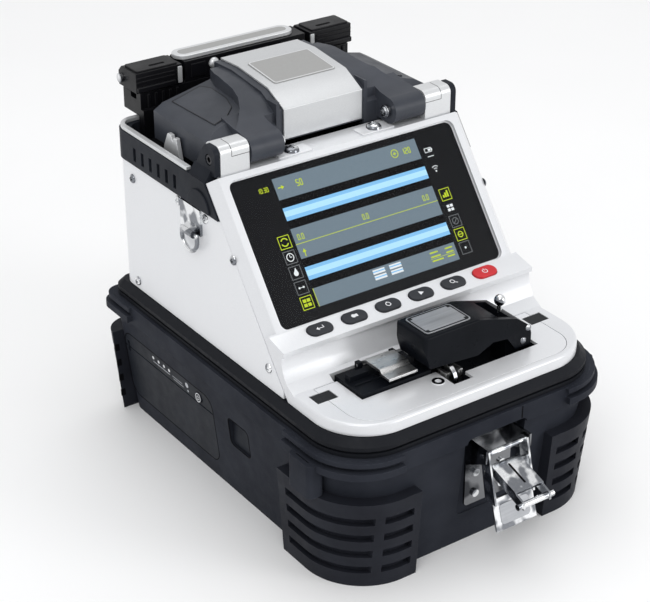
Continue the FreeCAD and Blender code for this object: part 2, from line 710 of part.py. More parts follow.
SCREWS = ((81.5, 144.1), (81.5, 85.4), (36.2, 149.3), (11.2, 149.0), (-13.0, 137.0), (-42.0, 92.0))


def panel_screws():
    """Pan-head screws on both side panels."""
    screws = []
    for side in (-1, 1):
        for y, z in SCREWS:
            head = doc.addObject("Part::Sphere", "screw_head")
            bind(head, "Radius", 2.9)
            move(head, side * (d.body_half - 1.5), y, z)
            slab = block("screw_slab", d.body_half * side + (0 if side > 0 else -2),
                         d.body_half * side + (2 if side > 0 else 0), y - 4, y + 4, z - 4, z + 4)
            screws.append(common(head, slab))
    return piece("panel_screws", group(*screws))


def front_cover():
    """One moulding: deck border, hollow wall, key shelf, screen frame and top ledge."""
    half = d.body_half
    shelf_foot = (d.glass_foot_y - 1.3, d.glass_foot_z - 0.1)
    proud = d.bezel_proud
    back = d.seam_back
    top = d.bezel_length
    body = new_body("front_cover_body")
    pad(body, "YZ_Plane", outline(
        (d.body_front, d.seam_level), (d.body_front, d.deck_level),
        (d.wall_foot_y, d.deck_level), (d.wall_foot_y + 5.5, d.deck_level + 3.2),
        (d.wall_foot_y + 8.6, d.deck_level + 8.6), (d.wall_foot_y + 9.6, d.lip_under_z - 1.5),
        (d.shelf_front_y, d.lip_under_z), (d.shelf_front_y, d.shelf_front_z),
        shelf_foot, (slope_y(0, proud), slope_z(0, proud)), (slope_y(top, proud), slope_z(top, proud)),
        (slope_y(top, -back), slope_z(top, -back)), (slope_y(-33, -back), d.seam_level)),
        -half, half)
    front = d.body_front.number
    fillet(body, d.body_front_round, lambda e: along(e, Z_AXIS) and abs(
        e.CenterOfMass.y - front) < 0.01)
    fillet(body, 1.4, lambda e: abs(e.CenterOfMass.z - d.deck_level.number) < 1e-4
           and e.CenterOfMass.y < -80 and not along(e, Y_AXIS))
    wall = d.cover_wall
    hollow = prism("front_hollow", "YZ_Plane", outline(
        (d.body_front + wall, 70), (d.body_front + wall, d.deck_level - wall),
        (d.wall_foot_y + 4.5, d.deck_level - wall), (d.wall_foot_y + 10.4, d.deck_level + 1.8),
        (d.wall_foot_y + 12.6, d.deck_level + 8.6), (d.wall_foot_y + 13.0, d.shelf_front_z - 3.5),
        (slope_y(2, -wall), slope_z(2, -wall)), (slope_y(100, -wall), slope_z(100, -wall)),
        (slope_y(100, -60), slope_z(100, -60)), (slope_y(-40, -60), 70)),
        -(half - wall), half - wall)
    corner = prism("front_hollow_plan", "XY_Plane",
                   rounded(-(half - wall), half - wall, d.body_front + wall, 120,
                           d.body_front_round - wall), 60, 200)
    ledge = block("ledge", -d.ledge_half, d.ledge_half, slope_y(top, proud) - 1.2, d.ledge_rear,
                  d.ledge_level - 3.2, d.ledge_level)
    # the ledge starts behind the sloped face of the screen frame
    ahead = prism("ahead_of_slope", "YZ_Plane", outline(
        (slope_y(60, proud), slope_z(60, proud)), (slope_y(100, proud), slope_z(100, proud)),
        (slope_y(100, 30), slope_z(100, 30)), (slope_y(60, 30), slope_z(60, 30))), -90, 90)
    shell = fuse(cut(body, common(hollow, corner)), cut(ledge, ahead))
    sides = []
    for side in (-1, 1):
        bevel = prism("frame_bevel", "XZ_Plane", outline(
            (side * d.frame_fold, proud), (side * (half + 0.5), proud), (side * (half + 0.5), -back)),
            -0.5, d.bezel_length + 4)
        sides.append(move(bevel, 0, d.glass_foot_y, d.glass_foot_z, X_AXIS, d.screen_tilt.number))
    glass_seat = slope_plate("glass_seat", d.glass_half + 0.3, -0.3, d.glass_length + 0.3,
                             -d.glass_thick - 0.1, 5, d.glass_round + 0.3)
    lcd_window = slope_plate("lcd_window", d.lcd_half + 1.5, d.lcd_low - 1.5, d.lcd_high + 1.2,
                             -12, 3, 2)
    plate_seat = prism("plate_seat", "XY_Plane", table_rounded("plate_seat_plan"),
                       d.deck_level - 1.8, d.deck_level + 5)
    plate_window = block("plate_window", -53, 51, -99, -58.5, 60, d.deck_level + 5)
    windows = [block("window_seat", x - 5.8, x + 5.8, -75.0, -67.0, d.deck_level - 1.2,
                     d.deck_level + 3) for x in (-65.0, 65.0)]
    key_holes = []
    for i in range(6):
        hole = prism("key_hole", "XY_Plane", rounded(
            -(d.key_length / 2 + 0.25), d.key_length / 2 + 0.25, -(d.key_width / 2 + 0.25),
            d.key_width / 2 + 0.25, d.key_width / 2 + 0.2), -14, 6)
        key_holes.append(move(hole, d.key_pitch * (i - 2.5), d.key_y, d.key_z, X_AXIS,
                              d.key_tilt.number))
    return piece("front_cover", cut(shell, glass_seat, lcd_window, plate_seat, plate_window,
                                    *windows, *key_holes, *sides))


def deck_parts():
    """Inlaid deck plate with the openings for the cleaver, and two dark windows."""
    plate = prism("deck_sheet", "XY_Plane", table_rounded("deck_sheet_plan"),
                  d.deck_level - 1.7, d.deck_level)
    holder = block("holder_opening")
    blade = block("blade_opening")
    arm = block("arm_opening")
    port = rod("port_opening", "Z")
    windows = [block("window_notch", x - 5.8, x + 5.8, -75.0, -67.0, 80, 90) for x in (-65, 65)]
    ring = cut(rod("port_ring", "Z", -13.0, -91.0, d.deck_level - 2.0, 3.2, 2.4),
               rod("port_bore", "Z", -13.0, -91.0, d.deck_level - 1.0, 1.3, 4))
    piece("deck_plate", fuse(cut(plate, holder, blade, arm, port, *windows), ring))
    piece("deck_windows", group(*[
        block("window_pane", x - 5.6, x + 5.6, -74.8, -67.2, d.deck_level - 1.1, d.deck_level - 0.3)
        for x in (-65.0, 65.0)]))


def screen():
    piece("screen_glass", slope_plate("glass_plate", d.glass_half, 0, d.glass_length,
                                      -d.glass_thick, 0, d.glass_round))
    piece("lcd_module", slope_plate("lcd_plate", d.lcd_half, d.lcd_low, d.lcd_high,
                                    -(d.glass_thick + d.lcd_thick + 0.2), -(d.glass_thick + 0.2), 1))


KEY_NAMES = ("key_enter", "key_menu", "key_stop", "key_run", "key_zoom", "key_power")


def keys():
    """Six oval keys on the shelf."""
    for i, name in enumerate(KEY_NAMES):
        body = prism(name + "_body", "XY_Plane", rounded(
            -d.key_length / 2, d.key_length / 2, -d.key_width / 2, d.key_width / 2,
            d.key_width / 2 - 0.05), -4.5, 1.3)
        top = 1.3
        fillet(body, 0.6, lambda e: abs(e.CenterOfMass.z - top) < 1e-4)
        move(body, d.key_pitch * (i - 2.5), d.key_y, d.key_z, X_AXIS, d.key_tilt.number)
        piece(name, body)


# ---------------------------------------------------------------- inside

def inside():
    """Chassis tray over the tub and the main board above it."""
    tray = block("tray_floor")
    walls = [block("tray_wall", x, x + 2, -34, 88, 83.2, 104) for x in (-68, 66)]
    opening = block("tray_opening")
    piece("chassis_tray", cut(fuse(tray, *walls), opening))
    board = block("board")
    chips = [block("chip", x, x + 16, y, y + 16, 87.8, 90.6) for x, y in ((-40, 0), (10, 20), (-20, 44))]
    posts = [rod("board_post", "Z", x, y, 83.2, 2.5, 3.0) for x in (-55, 55) for y in (-18, 70)]
    piece("main_board", fuse(board, *chips, *posts))


# ---------------------------------------------------------------- top surround and hinge

def surround_plan(outer, inner, rear, rear_inner, front):
    """U-shaped plan, open to the front."""
    return (rounded(-outer, outer, front, rear, 0.5, 10.0),
            rounded(-inner, inner, front - 40, rear_inner, 0.5, 6.0))


def top_surround():
    outline_outer, outline_inner = surround_plan(
        d.surround_half, d.surround_inner, d.surround_rear, d.surround_rear_inner, size(-14))
    body = new_body("surround_body")
    pad(body, "XY_Plane", outline_outer, d.surround_low, d.surround_top)
    pocket(body, "XY_Plane", outline_inner, d.surround_low - 1, d.surround_top + 1)
    ears = []
    front, crest = d.hinge_y - d.knuckle_front, d.hinge_z + d.knuckle_crest
    behind = slope_y(d.bezel_length, -d.seam_back) + 0.5
    top = d.ledge_level + 0.7
    for side in (-1, 1):
        low = -d.ear_outer if side < 0 else d.ear_inner
        flat = prism("ear_plate", "YZ_Plane", outline(
            (behind, 161.2), (30.0, 161.2), (27.4, 168.5), (22.4, 175.5), (18.6, crest - 3.4),
            (15.6, crest), (front, crest), (front, top), (behind, top)),
                     low, low + d.ear_outer - d.ear_inner)
        fillet(flat, d.knuckle_round, lambda e: along(e, X_AXIS) and e.CenterOfMass.z > 185
               and e.CenterOfMass.y < 8)
        shoulder = prism("ear_shoulder", "XZ_Plane", outline(
            (side * d.surround_half, 162), (side * d.surround_half, 167.5),
            (side * (d.ear_outer - 0.2), 174), (side * d.ear_inner, 174), (side * d.ear_inner, 162)),
            behind, 25.0)
        ears += [flat, shoulder]
    back = d.seam_back + 0.4
    ahead = prism("surround_ahead", "YZ_Plane", outline(
        (slope_y(20, -back), slope_z(20, -back)), (slope_y(110, -back), slope_z(110, -back)),
        (slope_y(110, 70), slope_z(110, 70)), (slope_y(20, 70), slope_z(20, 70))), -90, 90)
    front_foot = block("surround_front_foot")
    vents = []
    for i in range(int(d.vent_count.number)):
        y = d.vent_first + d.vent_pitch * i
        vents.append(block("vent", -90, 90, y - 1.3, y + 1.3, 155.4, 162.6))
    vent_core = block("vent_core", -(d.surround_half - 1.6), d.surround_half - 1.6, 20, 90, 150, 170)
    holes = [rod("ear_hole", "X", (-80 if side < 0 else 71.2), d.hinge_y, d.hinge_z, 2.9, 8.8)
             for side in (-1, 1)]
    ledge_room = block("ledge_room", -(d.ledge_half + 0.15), d.ledge_half + 0.15, -20,
                       d.ledge_rear + 0.2, 150, d.ledge_level + 0.1)
    frame = cut(body, cut(group(*vents), vent_core), ahead, front_foot, ledge_room)
    return piece("top_surround", cut(fuse(frame, *ears), *holes))


def surround_trim():
    outer, inner = surround_plan(d.surround_half - 0.5, d.surround_half - 3.4,
                                 d.surround_rear - 0.5, d.surround_rear - 3.4, size(27))
    body = new_body("trim_body")
    pad(body, "XY_Plane", outer, d.surround_top, d.surround_top + d.trim_tall)
    pocket(body, "XY_Plane", inner, d.surround_top - 1, d.surround_top + d.trim_tall + 1)
    return piece("surround_trim", body)


def cover_hinge():
    """Silver knuckles on the ledge and the two hinge pins."""
    knuckles, pins = [], []
    for side in (-1, 1):
        low = -d.knuckle_outer if side < 0 else d.knuckle_inner
        width = d.knuckle_outer - d.knuckle_inner
        front, rear = d.hinge_y - d.knuckle_front, d.hinge_y + d.knuckle_rear
        crest = d.hinge_z + d.knuckle_crest
        knuckle = new_body("knuckle_body")
        pad(knuckle, "YZ_Plane", outline((front, d.ledge_level), (rear, d.ledge_level), (rear, crest),
                                         (front, crest)), low, low + width)
        fillet(knuckle, d.knuckle_round, lambda e: along(e, X_AXIS) and e.CenterOfMass.z > 180)
        bore = rod("knuckle_bore", "X", low - 1, d.hinge_y, d.hinge_z,
                   d.hinge_pin_radius + d.press_gap, width + 2)
        knuckles.append(cut(knuckle, bore))
        shaft_low = -d.knuckle_outer if side < 0 else d.lug_inner - 2.4
        shaft = rod("hinge_shaft", "X", shaft_low, d.hinge_y, d.hinge_z, d.hinge_pin_radius,
                    d.knuckle_outer - d.lug_inner + 2.4)
        cap_low = -(d.lug_inner - 0.3) if side < 0 else d.lug_inner - 2.4
        cap = rod("hinge_cap", "X", cap_low, d.hinge_y, d.hinge_z, 3.2, 2.1)
        pins.append(fuse(shaft, cap))
    piece("hinge_knuckles", group(*knuckles))
    piece("hinge_pins", group(*pins))


# ---------------------------------------------------------------- splicing well

def splice_stage():
    floor = block("stage_floor", -(d.surround_inner - 0.6), d.surround_inner - 0.6, 21.4, 87.0,
                  157.8, 160.8)
    v_block = block("v_block")
    groove = block("v_slot")
    arc_gap = block("arc_gap")
    electrodes, caps = [], []
    for way in (-1, 1):
        start = 51 + way * 2.2
        tip = doc.addObject("Part::Cone", "electrode_tip")
        bind(tip, "Radius1", 0.15)
        bind(tip, "Radius2", 1.0)
        bind(tip, "Height", 4.0)
        move(tip, 0, start, 169.0, X_AXIS, -90 * way)
        shank_low = start + 4.0 if way > 0 else start - 15.0
        shank = rod("electrode_shank", "Y", 0, shank_low, 169.0, 1.0, 11.0)
        electrodes.append(fuse(tip, shank))
        y0 = 62.0 if way > 0 else 33.5
        caps.append(cut(block("electrode_cap", -5, 5, y0, y0 + 6.5, 160.8, 173.0),
                        rod("electrode_bore", "Y", 0, y0 - 1, 169.0, 1.05, 9)))
    piece("splice_stage", fuse(cut(fuse(floor, v_block), groove, arc_gap), *caps))
    piece("electrodes", group(*electrodes))
    guides = []
    for side in (-1, 1):
        x0, x1 = (67.2, 69.6) if side > 0 else (-69.6, -67.2)
        plate = prism("guide_plate", "YZ_Plane", table_outline("guide_plate_edge"), x0, x1)
        guides.append(plate)
    piece("fiber_guides", group(*guides))


def fiber_stage(side):
    """Sliding fibre carrier and its clamp lid."""
    x0, x1 = (-58.0, -32.0)
    slab = block("carrier", x0, x1, 42.0, 60.0, 161.1, 171.0)
    groove = block("carrier_groove", x0 - 1, x1 + 1, 50.4, 51.6, 169.8, 172)
    lugs = [block("carrier_lug", x, x + 3.0, 58.0, 62.6, 166.0, 174.4) for x in (x0, x1 - 3.0)]
    bores = [rod("carrier_bore", "X", x - 1, 60.3, 172.4, 1.0, 5.0) for x in (x0, x1 - 3.0)]
    carrier = cut(fuse(slab, *lugs), groove, *bores)
    lid_low, lid_high = x0 + 3.3, x1 - 3.3
    leaf = block("lid_leaf", lid_low, lid_high, 46.5, 60.3, 171.3, 173.5)
    barrel = rod("lid_barrel", "X", lid_low, 60.3, 172.4, 1.1, lid_high - lid_low)
    axle = rod("lid_axle", "X", x0 + 0.2, 60.3, 172.4, 0.94, x1 - x0 - 0.4)
    lid = fuse(leaf, barrel, axle)
    if side > 0:
        carrier, lid = mirrored(carrier), mirrored(lid)
    word = "right" if side > 0 else "left"
    piece("fiber_stage_" + word, carrier)
    piece("fiber_clamp_" + word, lid)


# ---------------------------------------------------------------- wind cover

def ridge_points(inset):
    """Side profile of the cover's ridge, inset from the silver plate's outer face."""
    return ((21.1 + inset, 172.4), (21.1 + inset, 189.4 - inset * 0.5), (35.0 + inset * 0.3, 196.5 - inset),
            (62.0, 199.4 - inset), (78.4, 198.7 - inset))


def wind_cover():
    inset = d.plate_thick.number + 0.02
    ridge = prism("ridge", "YZ_Plane", outline(*ridge_points(inset), (78.4, 171.0)),
                  -d.ridge_half, d.ridge_half)
    wing = outline((d.ridge_half - 2, d.cover_low), (d.cover_half, d.cover_low),
                   (d.cover_half, d.cover_side_top), (d.cover_half - 5.5, d.cover_side_top + 3.2),
                   (d.ridge_half + 6, d.cover_top_inner), (d.ridge_half - 2, d.cover_top_inner + 3))
    # the wing's front slopes down to the knuckles
    ahead = prism("wing_ahead", "YZ_Plane", outline(
        (d.cover_near - 1, d.cover_side_top - 0.8), (40.0, 194.0), (40.0, 200.0),
        (d.cover_near - 1, 200.0)), d.ridge_half, d.cover_half + 1)
    right = cut(prism("wing", "XZ_Plane", wing, d.cover_near, d.cover_far), ahead)
    lug_plate = prism("lug_plate", "YZ_Plane", outline(
        (d.hinge_y, d.hinge_z - d.knuckle_radius), (33.0, d.hinge_z - d.knuckle_radius + 1),
        (33.0, 188.4), (24.0, 186.6), (15.0, 185.3), (d.hinge_y - 2.4, d.hinge_z + 6.36),
        (d.hinge_y - 6.0, d.hinge_z + 3.2)), d.lug_inner, d.lug_outer)
    lug_nose = rod("lug_nose", "X", d.lug_inner, d.hinge_y, d.hinge_z, d.knuckle_radius,
                   d.lug_outer - d.lug_inner)
    # curved shoulder from the lug up to the ridge: its plan and its side profile
    shoulder = common(
        prism("shoulder_plan", "XY_Plane", table_outline("shoulder_plan"), 172, 200),
        prism("shoulder_side", "YZ_Plane", table_outline("shoulder_side"), 20, 60))
    half_sides = fuse(right, lug_plate, lug_nose, shoulder)
    solid = fuse(ridge, half_sides, mirrored(half_sides))
    centre_room = prism("centre_room", "YZ_Plane", table_outline("centre_room_edge"), -24.5, 24.5)
    side_room = block("side_room")
    bores = [rod("lug_bore", "X", (-d.lug_outer - 1 if side < 0 else d.lug_inner - 1), d.hinge_y,
                 d.hinge_z, d.hinge_pin_radius + d.pin_gap, d.lug_outer - d.lug_inner + 2)
             for side in (-1, 1)]
    fiber_slot = block("fiber_slot")
    piece("wind_cover", cut(solid, centre_room, side_room, fiber_slot, *bores))
    outer = ridge_points(0.0)
    inner = ridge_points(d.plate_thick.number)
    strip = prism("cover_plate_strip", "YZ_Plane",
                  outline((21.1, 173.6), *outer[1:], *reversed(inner[1:]), (inner[0][0], 173.6)),
                  -d.plate_half, d.plate_half)
    piece("wind_cover_plate", strip)
    label = prism("label_sheet", "XY_Plane", table_rounded("label_sheet_plan"), 0.02, 0.5)
    rise = math.degrees(math.atan2(199.4 - 196.5, 62.0 - 35.0))
    move(label, 0, 36.4, 196.5 + 1.4 * math.tan(math.radians(rise)), X_AXIS, rise)
    piece("cover_label", label)


# ---------------------------------------------------------------- heater

def heater():
    far, near, low, split = d.heater_far, d.heater_near, d.heater_low, d.heater_split
    trough_half = d.heater_half - 2.0
    trough = block("heater_trough", -trough_half, trough_half, near, far - 0.5, low, split - 0.3)
    neck = block("heater_neck", -trough_half, trough_half, near - 2.6, near + 2.4, 160.8, low + 4)
    channel = block("heater_channel", -67, 67, near + 4.2, near + 9.8, split - 4.5, split + 2)
    ears = [block("heater_ear", x - 0.9, x + 0.9, d.heater_pin_y - 4.5, d.heater_pin_y + 3.0,
                  split - 3, 194.2) for x in (-38.4, 38.4)]
    pin_bore = rod("heater_pin_bore", "X", -75, d.heater_pin_y, d.heater_pin_z,
                   d.heater_pin_radius + d.press_gap, 150)
    swing_room = block("swing_room", -75, 75, far - 9.5, far + 1, split - 1.8, split + 3)
    housing = cut(fuse(trough, neck), channel, swing_room)
    piece("heater_housing", cut(fuse(housing, *ears), pin_bore))
    reach = d.heater_half + 0.2
    shaft = rod("heater_shaft", "X", -reach, d.heater_pin_y, d.heater_pin_z, d.heater_pin_radius,
                reach * 2)
    heads = [rod("heater_pin_head", "X", x, d.heater_pin_y, d.heater_pin_z, 2.4, 1.6)
             for x in (-(reach + 1.6), reach)]
    piece("heater_hinge_pin", fuse(shaft, *heads))
    bore = rod("clamp_bore", "X", -80, d.heater_pin_y, d.heater_pin_z,
               d.heater_pin_radius + d.pin_gap, 160)
    for side, word in ((-1, "left"), (1, "right")):
        low_x, high_x = ((-d.heater_half, -d.heater_clamp_inner) if side < 0
                         else (d.heater_clamp_inner, d.heater_half))
        shell = prism("clamp_block", "YZ_Plane", outline(
            (near, split), (far, split), (far, d.heater_top - 3), (far - 3, d.heater_top),
            (near, d.heater_top)), low_x, high_x)
        piece("heater_clamp_" + word, cut(shell, bore))
    lid = prism("lid_block", "YZ_Plane", outline(
        (near + 1, split), (far, split), (far, d.heater_top - 3), (far - 3, d.heater_top),
        (near + 1, d.heater_top)), -37.2, 37.2)
    piece("heater_lid", cut(lid, bore))
    bar = prism("lid_bar_plate", "XY_Plane",
                rounded(d.bar_left, d.bar_right, near + 3, far - 3.5, 5.5), d.heater_top, d.bar_top)
    piece("heater_bar", bar)


# ---------------------------------------------------------------- cleaver

def cleaver():
    tray = block("cleaver_tray", d.tray_left, d.tray_right, d.tray_near, d.tray_far, d.tray_low,
                 d.tray_top)
    holder = block("holder_block", -51.2, -11.0, -82.8, -60.4, d.tray_top, 88.6)
    fence = block("holder_fence")
    rail = block("holder_rail")
    anvil = block("anvil_post")
    lug = block("arm_lug", 35.5, 44.5, -83.0, -72.0, d.tray_top - 9.5, 93.6)
    blade_room = block("blade_room", -8.0, 3.2, -96.0, -59.0, d.tray_low + 2, 100)
    arm_room = block("arm_room", 4.2, 48.2, -90.0, -65.2, d.tray_top - 9, 84.61)
    lug_bore = rod("lug_bore", "Y", d.arm_pivot_x, -95, d.arm_pivot_z, d.arm_pin_radius + d.press_gap, 40)
    posts = [block("holder_post", x, x + 2.4, -64.4, -61.4, 88.0, 93.0) for x in (-40.2, -20.2)]
    post_bore = rod("holder_post_bore", "X")
    body = fuse(cut(fuse(tray, holder, fence, rail), blade_room, arm_room), lug, anvil, *posts)
    piece("cleaver_base", cut(body, lug_bore, post_bore))
    piece("arm_pivot_pin", rod("arm_shaft", "Y", d.arm_pivot_x, d.arm_near - 0.4, d.arm_pivot_z,
                               d.arm_pin_radius, d.arm_far - d.arm_near + 0.8))
    arm = new_body("arm_body")
    pad(arm, "XZ_Plane", outline(
        (d.arm_left + 3.6, d.arm_low + 2.2), (d.arm_left, d.arm_top - 6), (d.arm_left, d.arm_top),
        (12.0, d.arm_top), (36.5, 104.0), (45.0, 97.5), (46.2, 93.0), (46.2, 87.2), (36.5, 87.2),
        (31.0, 94.5), (22.0, 95.5), (12.8, d.arm_low)), d.arm_near, d.arm_far)
    fillet(arm, 2.2, lambda e: along(e, Z_AXIS) and e.CenterOfMass.x < -15)
    fillet(arm, 1.4, lambda e: abs(e.CenterOfMass.z - d.arm_top.number) < 1e-3
           and e.CenterOfMass.x < 12.5)
    belly = block("arm_belly", -16.5, 33.5, d.arm_near + 2.4, d.arm_far - 2.4, 80, 107.0)
    cheek_room = block("cheek_room", 33.4, 60, d.arm_near + 2.4, d.arm_far - 2.4, 80, 97.0)
    arm_bore = rod("arm_bore", "Y", d.arm_pivot_x, -99, d.arm_pivot_z, d.arm_pin_radius + d.pin_gap, 50)
    piece("cleaver_arm", cut(arm, belly, cheek_room, arm_bore))
    label = prism("arm_label_sheet", "XY_Plane", table_rounded("arm_label_sheet_plan"),
                  d.arm_top + 0.02, d.arm_top + 0.6)
    piece("cleaver_label", label)
    stem = rod("knob_stem", "Z")
    piece("cleaver_knob", fuse(stem, ball("knob_ball", 34.5, -78.0, 110.0, 2.9)))
    # blade wheel on its sliding carriage
    slab = block("carriage_slab")
    cheeks = [block("carriage_cheek", x, x + 1.8, -90.0, -78.0, 76.5, 88.4) for x in (-7.2, 0.8)]
    axle_bore = rod("blade_axle_bore", "X", -9, d.blade_y, d.blade_z, 1.3, 14)
    wheel_room = rod("wheel_room", "X", -5.2, d.blade_y, d.blade_z, d.blade_radius + 0.4, 5.8)
    piece("blade_carriage", cut(fuse(slab, *cheeks), axle_bore, wheel_room))
    disc_body = rod("blade_disc", "X", d.blade_x - 1.4, d.blade_y, d.blade_z, d.blade_radius, 2.2)
    hub = rod("blade_hub", "X", d.blade_x - 2.0, d.blade_y, d.blade_z, 3.6, 3.4)
    axle = rod("blade_axle", "X", -7.1, d.blade_y, d.blade_z, 1.24, 9.6)
    piece("blade_wheel", fuse(disc_body, hub, axle))
    # holder lid hinged at its rear edge
    leaf = prism("holder_leaf", "YZ_Plane", table_outline("holder_leaf_edge"), -37.4, -20.6)
    barrel = rod("holder_barrel", "X")
    axle = rod("holder_axle", "X")
    piece("holder_lid", fuse(leaf, barrel, axle))


# ---------------------------------------------------------------- front latch

def latch():
    x, half = d.latch_x, d.latch_half
    face = d.latch_face
    plate = prism("latch_sheet", "XZ_Plane", rounded(x - half, x + half, 22.0, 62.0, 2.0),
                  face - 1.2, face)
    cheeks = [prism("latch_cheek", "YZ_Plane", outline(
        (face - 1.0, 46.0), (face - 1.0, 61.0), (d.latch_pivot_y - 3.0, 61.0),
        (d.latch_pivot_y - 3.0, 54.0)), low, low + 1.2)
        for low in (x - half, x + half - 1.2)]
    bores = rod("latch_bores", "X", x - 30, d.latch_pivot_y, d.latch_pivot_z, 1.32, 60)
    rivets = [rod("latch_rivet", "Y", x + dx, face - 2.4, z, 2.0, 1.2)
              for dx in (-8.0, 8.0) for z in (28.0, 40.0)]
    piece("latch_plate", cut(fuse(plate, *cheeks), bores))
    piece("latch_rivets", group(*rivets))
    # lever: channel that hangs from the cheeks, flaring into the pull tab
    lean_y, lean_z = -12.0, -37.5
    top_y, top_z = d.latch_pivot_y, d.latch_pivot_z
    inner = half - 1.6
    web = prism("lever_web", "YZ_Plane", outline(
        (top_y - 2.4, top_z - 8.0), (top_y - 1.2, top_z - 8.0), (top_y + lean_y + 1.3, top_z + lean_z),
        (top_y + lean_y, top_z + lean_z)), x - inner, x + inner)
    window = block("lever_window", x - 9.6, x + 9.6, -160, -100, top_z - 22.0, top_z - 7.0)
    sides = [prism("lever_side", "YZ_Plane", outline(
        (top_y - 2.6, top_z + 2.4), (top_y + 2.4, top_z + 2.4), (top_y + 2.4, top_z - 4),
        (top_y - 2.0, top_z - 24.0), (top_y - 9.6, top_z - 24.0)), low, low + 1.0)
        for low in (x - inner, x + inner - 1.0)]
    axle = rod("lever_axle", "X", x - half - 0.3, top_y, top_z, 1.25, half * 2 + 0.6)
    claw_bore = rod("claw_bore", "X", x - 30, d.claw_pivot_y, d.claw_pivot_z, 1.12, 60)
    piece("latch_lever", cut(fuse(cut(web, window), *sides, axle), claw_bore))
    # claw: folded arm that carries the roller bar
    py, pz = d.claw_pivot_y, d.claw_pivot_z
    arm_half = 8.6
    top = prism("claw_top", "YZ_Plane", outline(
        (py + 1.0, pz + 1.2), (py + 1.0, pz + 2.4), (py - 17.5, pz - 3.4), (py - 17.5, pz - 4.6)),
        x - arm_half, x + arm_half)
    flanks = [prism("claw_flank", "YZ_Plane", outline(
        (py + 2.0, pz - 2.0), (py + 2.0, pz + 1.8), (py - 18.0, pz - 4.4), (py - 23.6, pz - 6.6),
        (py - 23.6, pz - 10.0), (py - 18.0, pz - 9.2)), low, low + 1.1)
        for low in (x - arm_half, x + arm_half - 1.1)]
    pin = rod("claw_pin", "X", x - inner + 0.1, py, pz, 1.05, (inner - 0.1) * 2)
    roller = rod("claw_roller", "X", x - 11.0, py - 21.8, pz - 8.2, 1.6, 22.0)
    piece("latch_claw", fuse(top, *flanks, pin, roller))


# ---------------------------------------------------------------- strap rings, ledge studs

def strap_rings():
    y, z, x = d.ring_y, d.ring_z, d.ring_x
    wire, half = d.ring_wire, d.ring_half
    plate = block("bracket_plate", d.body_half, d.body_half + 1.3, y - 7.5, y + 11.0, z - 0.5, z + 13.2)
    tongue = prism("bracket_tongue", "XZ_Plane", outline(
        (d.body_half + 0.6, z + 4.0), (x + 1.6, z + 1.2), (x + 1.6, z - 0.2), (d.body_half + 0.6, z - 0.4)),
        y - 4.5, y + 4.5)
    sleeve = rod("bracket_sleeve", "Y", x, y - 4.5, z, wire + 1.0, 9.0)
    bore = rod("bracket_bore", "Y", x, y - 12, z, wire + d.pin_gap, 24)
    bracket = cut(fuse(plate, tongue, sleeve), bore)
    bar = rod("ring_bar", "Y", x, y - half, z, wire, half * 2)
    drops = [rod("ring_drop", "Z", x, y + s * half, z - 3.0, wire, 3.0) for s in (-1, 1)]
    knees = [ball("ring_knee", x, y + s * half, z, wire) for s in (-1, 1)]
    bow = doc.addObject("Part::Torus", "ring_bow")
    bind(bow, "Radius1", half)
    bind(bow, "Radius2", wire)
    bow.Angle3 = 180
    bow.Placement = Placement(Vector(x.number, y.number, z.number - 3.0), Rotation(
        Vector(0, -1, 0), Vector(0, 0, -1), Vector(1, 0, 0), "ZXY"))
    ring = fuse(bar, *drops, *knees, bow)
    piece("strap_brackets", group(bracket, mirrored(bracket)))
    piece("strap_ring_right", ring)
    piece("strap_ring_left", mirrored(ring))


def ledge_studs():
    studs = []
    for x in (-25.0, 25.0):
        pad_plate = block("stud_plate", x - 10, x + 10, 8.4, 17.4, d.ledge_level, d.ledge_level + 0.7)
        dome = common(ball("stud_ball", x, 13.0, d.ledge_level - 0.9, 4.2),
                      block("stud_slab", x - 6, x + 6, 6, 20, d.ledge_level + 0.5, d.ledge_level + 8))
        studs.append(fuse(pad_plate, dome))
    piece("ledge_studs", group(*studs))


# ---------------------------------------------------------------- build everything

base_tub()
rim_seal()
corner_bumpers()
battery()
battery_release()
side_panel(-1)
side_panel(1)
rear_panel()
power_inlet()
panel_screws()
front_cover()
deck_parts()
screen()
keys()
inside()
top_surround()
surround_trim()
cover_hinge()
splice_stage()
fiber_stage(-1)
fiber_stage(1)
wind_cover()
heater()
cleaver()
latch()
strap_rings()
ledge_studs()
doc.recompute()

for obj in doc.Objects:
    if "Invalid" in obj.State or "Error" in obj.State:
        raise RuntimeError("%s (%s) failed" % (obj.Name, obj.Label))

os.makedirs("parts", exist_ok=True)
for obj in PIECES:
    shape = obj.Shape
    if shape.isNull() or not shape.isValid() or not shape.Solids:
        raise RuntimeError("%s has no valid solid" % obj.Label)
    shape.exportStep("parts/%s.step" % obj.Label)
    print("%-24s %2d solids %12.1f mm3" % (obj.Label, len(shape.Solids), shape.Volume))
print(len(PIECES), "pieces")
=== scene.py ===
import json
import math

import bmesh
import bpy
from mathutils import Matrix, Vector


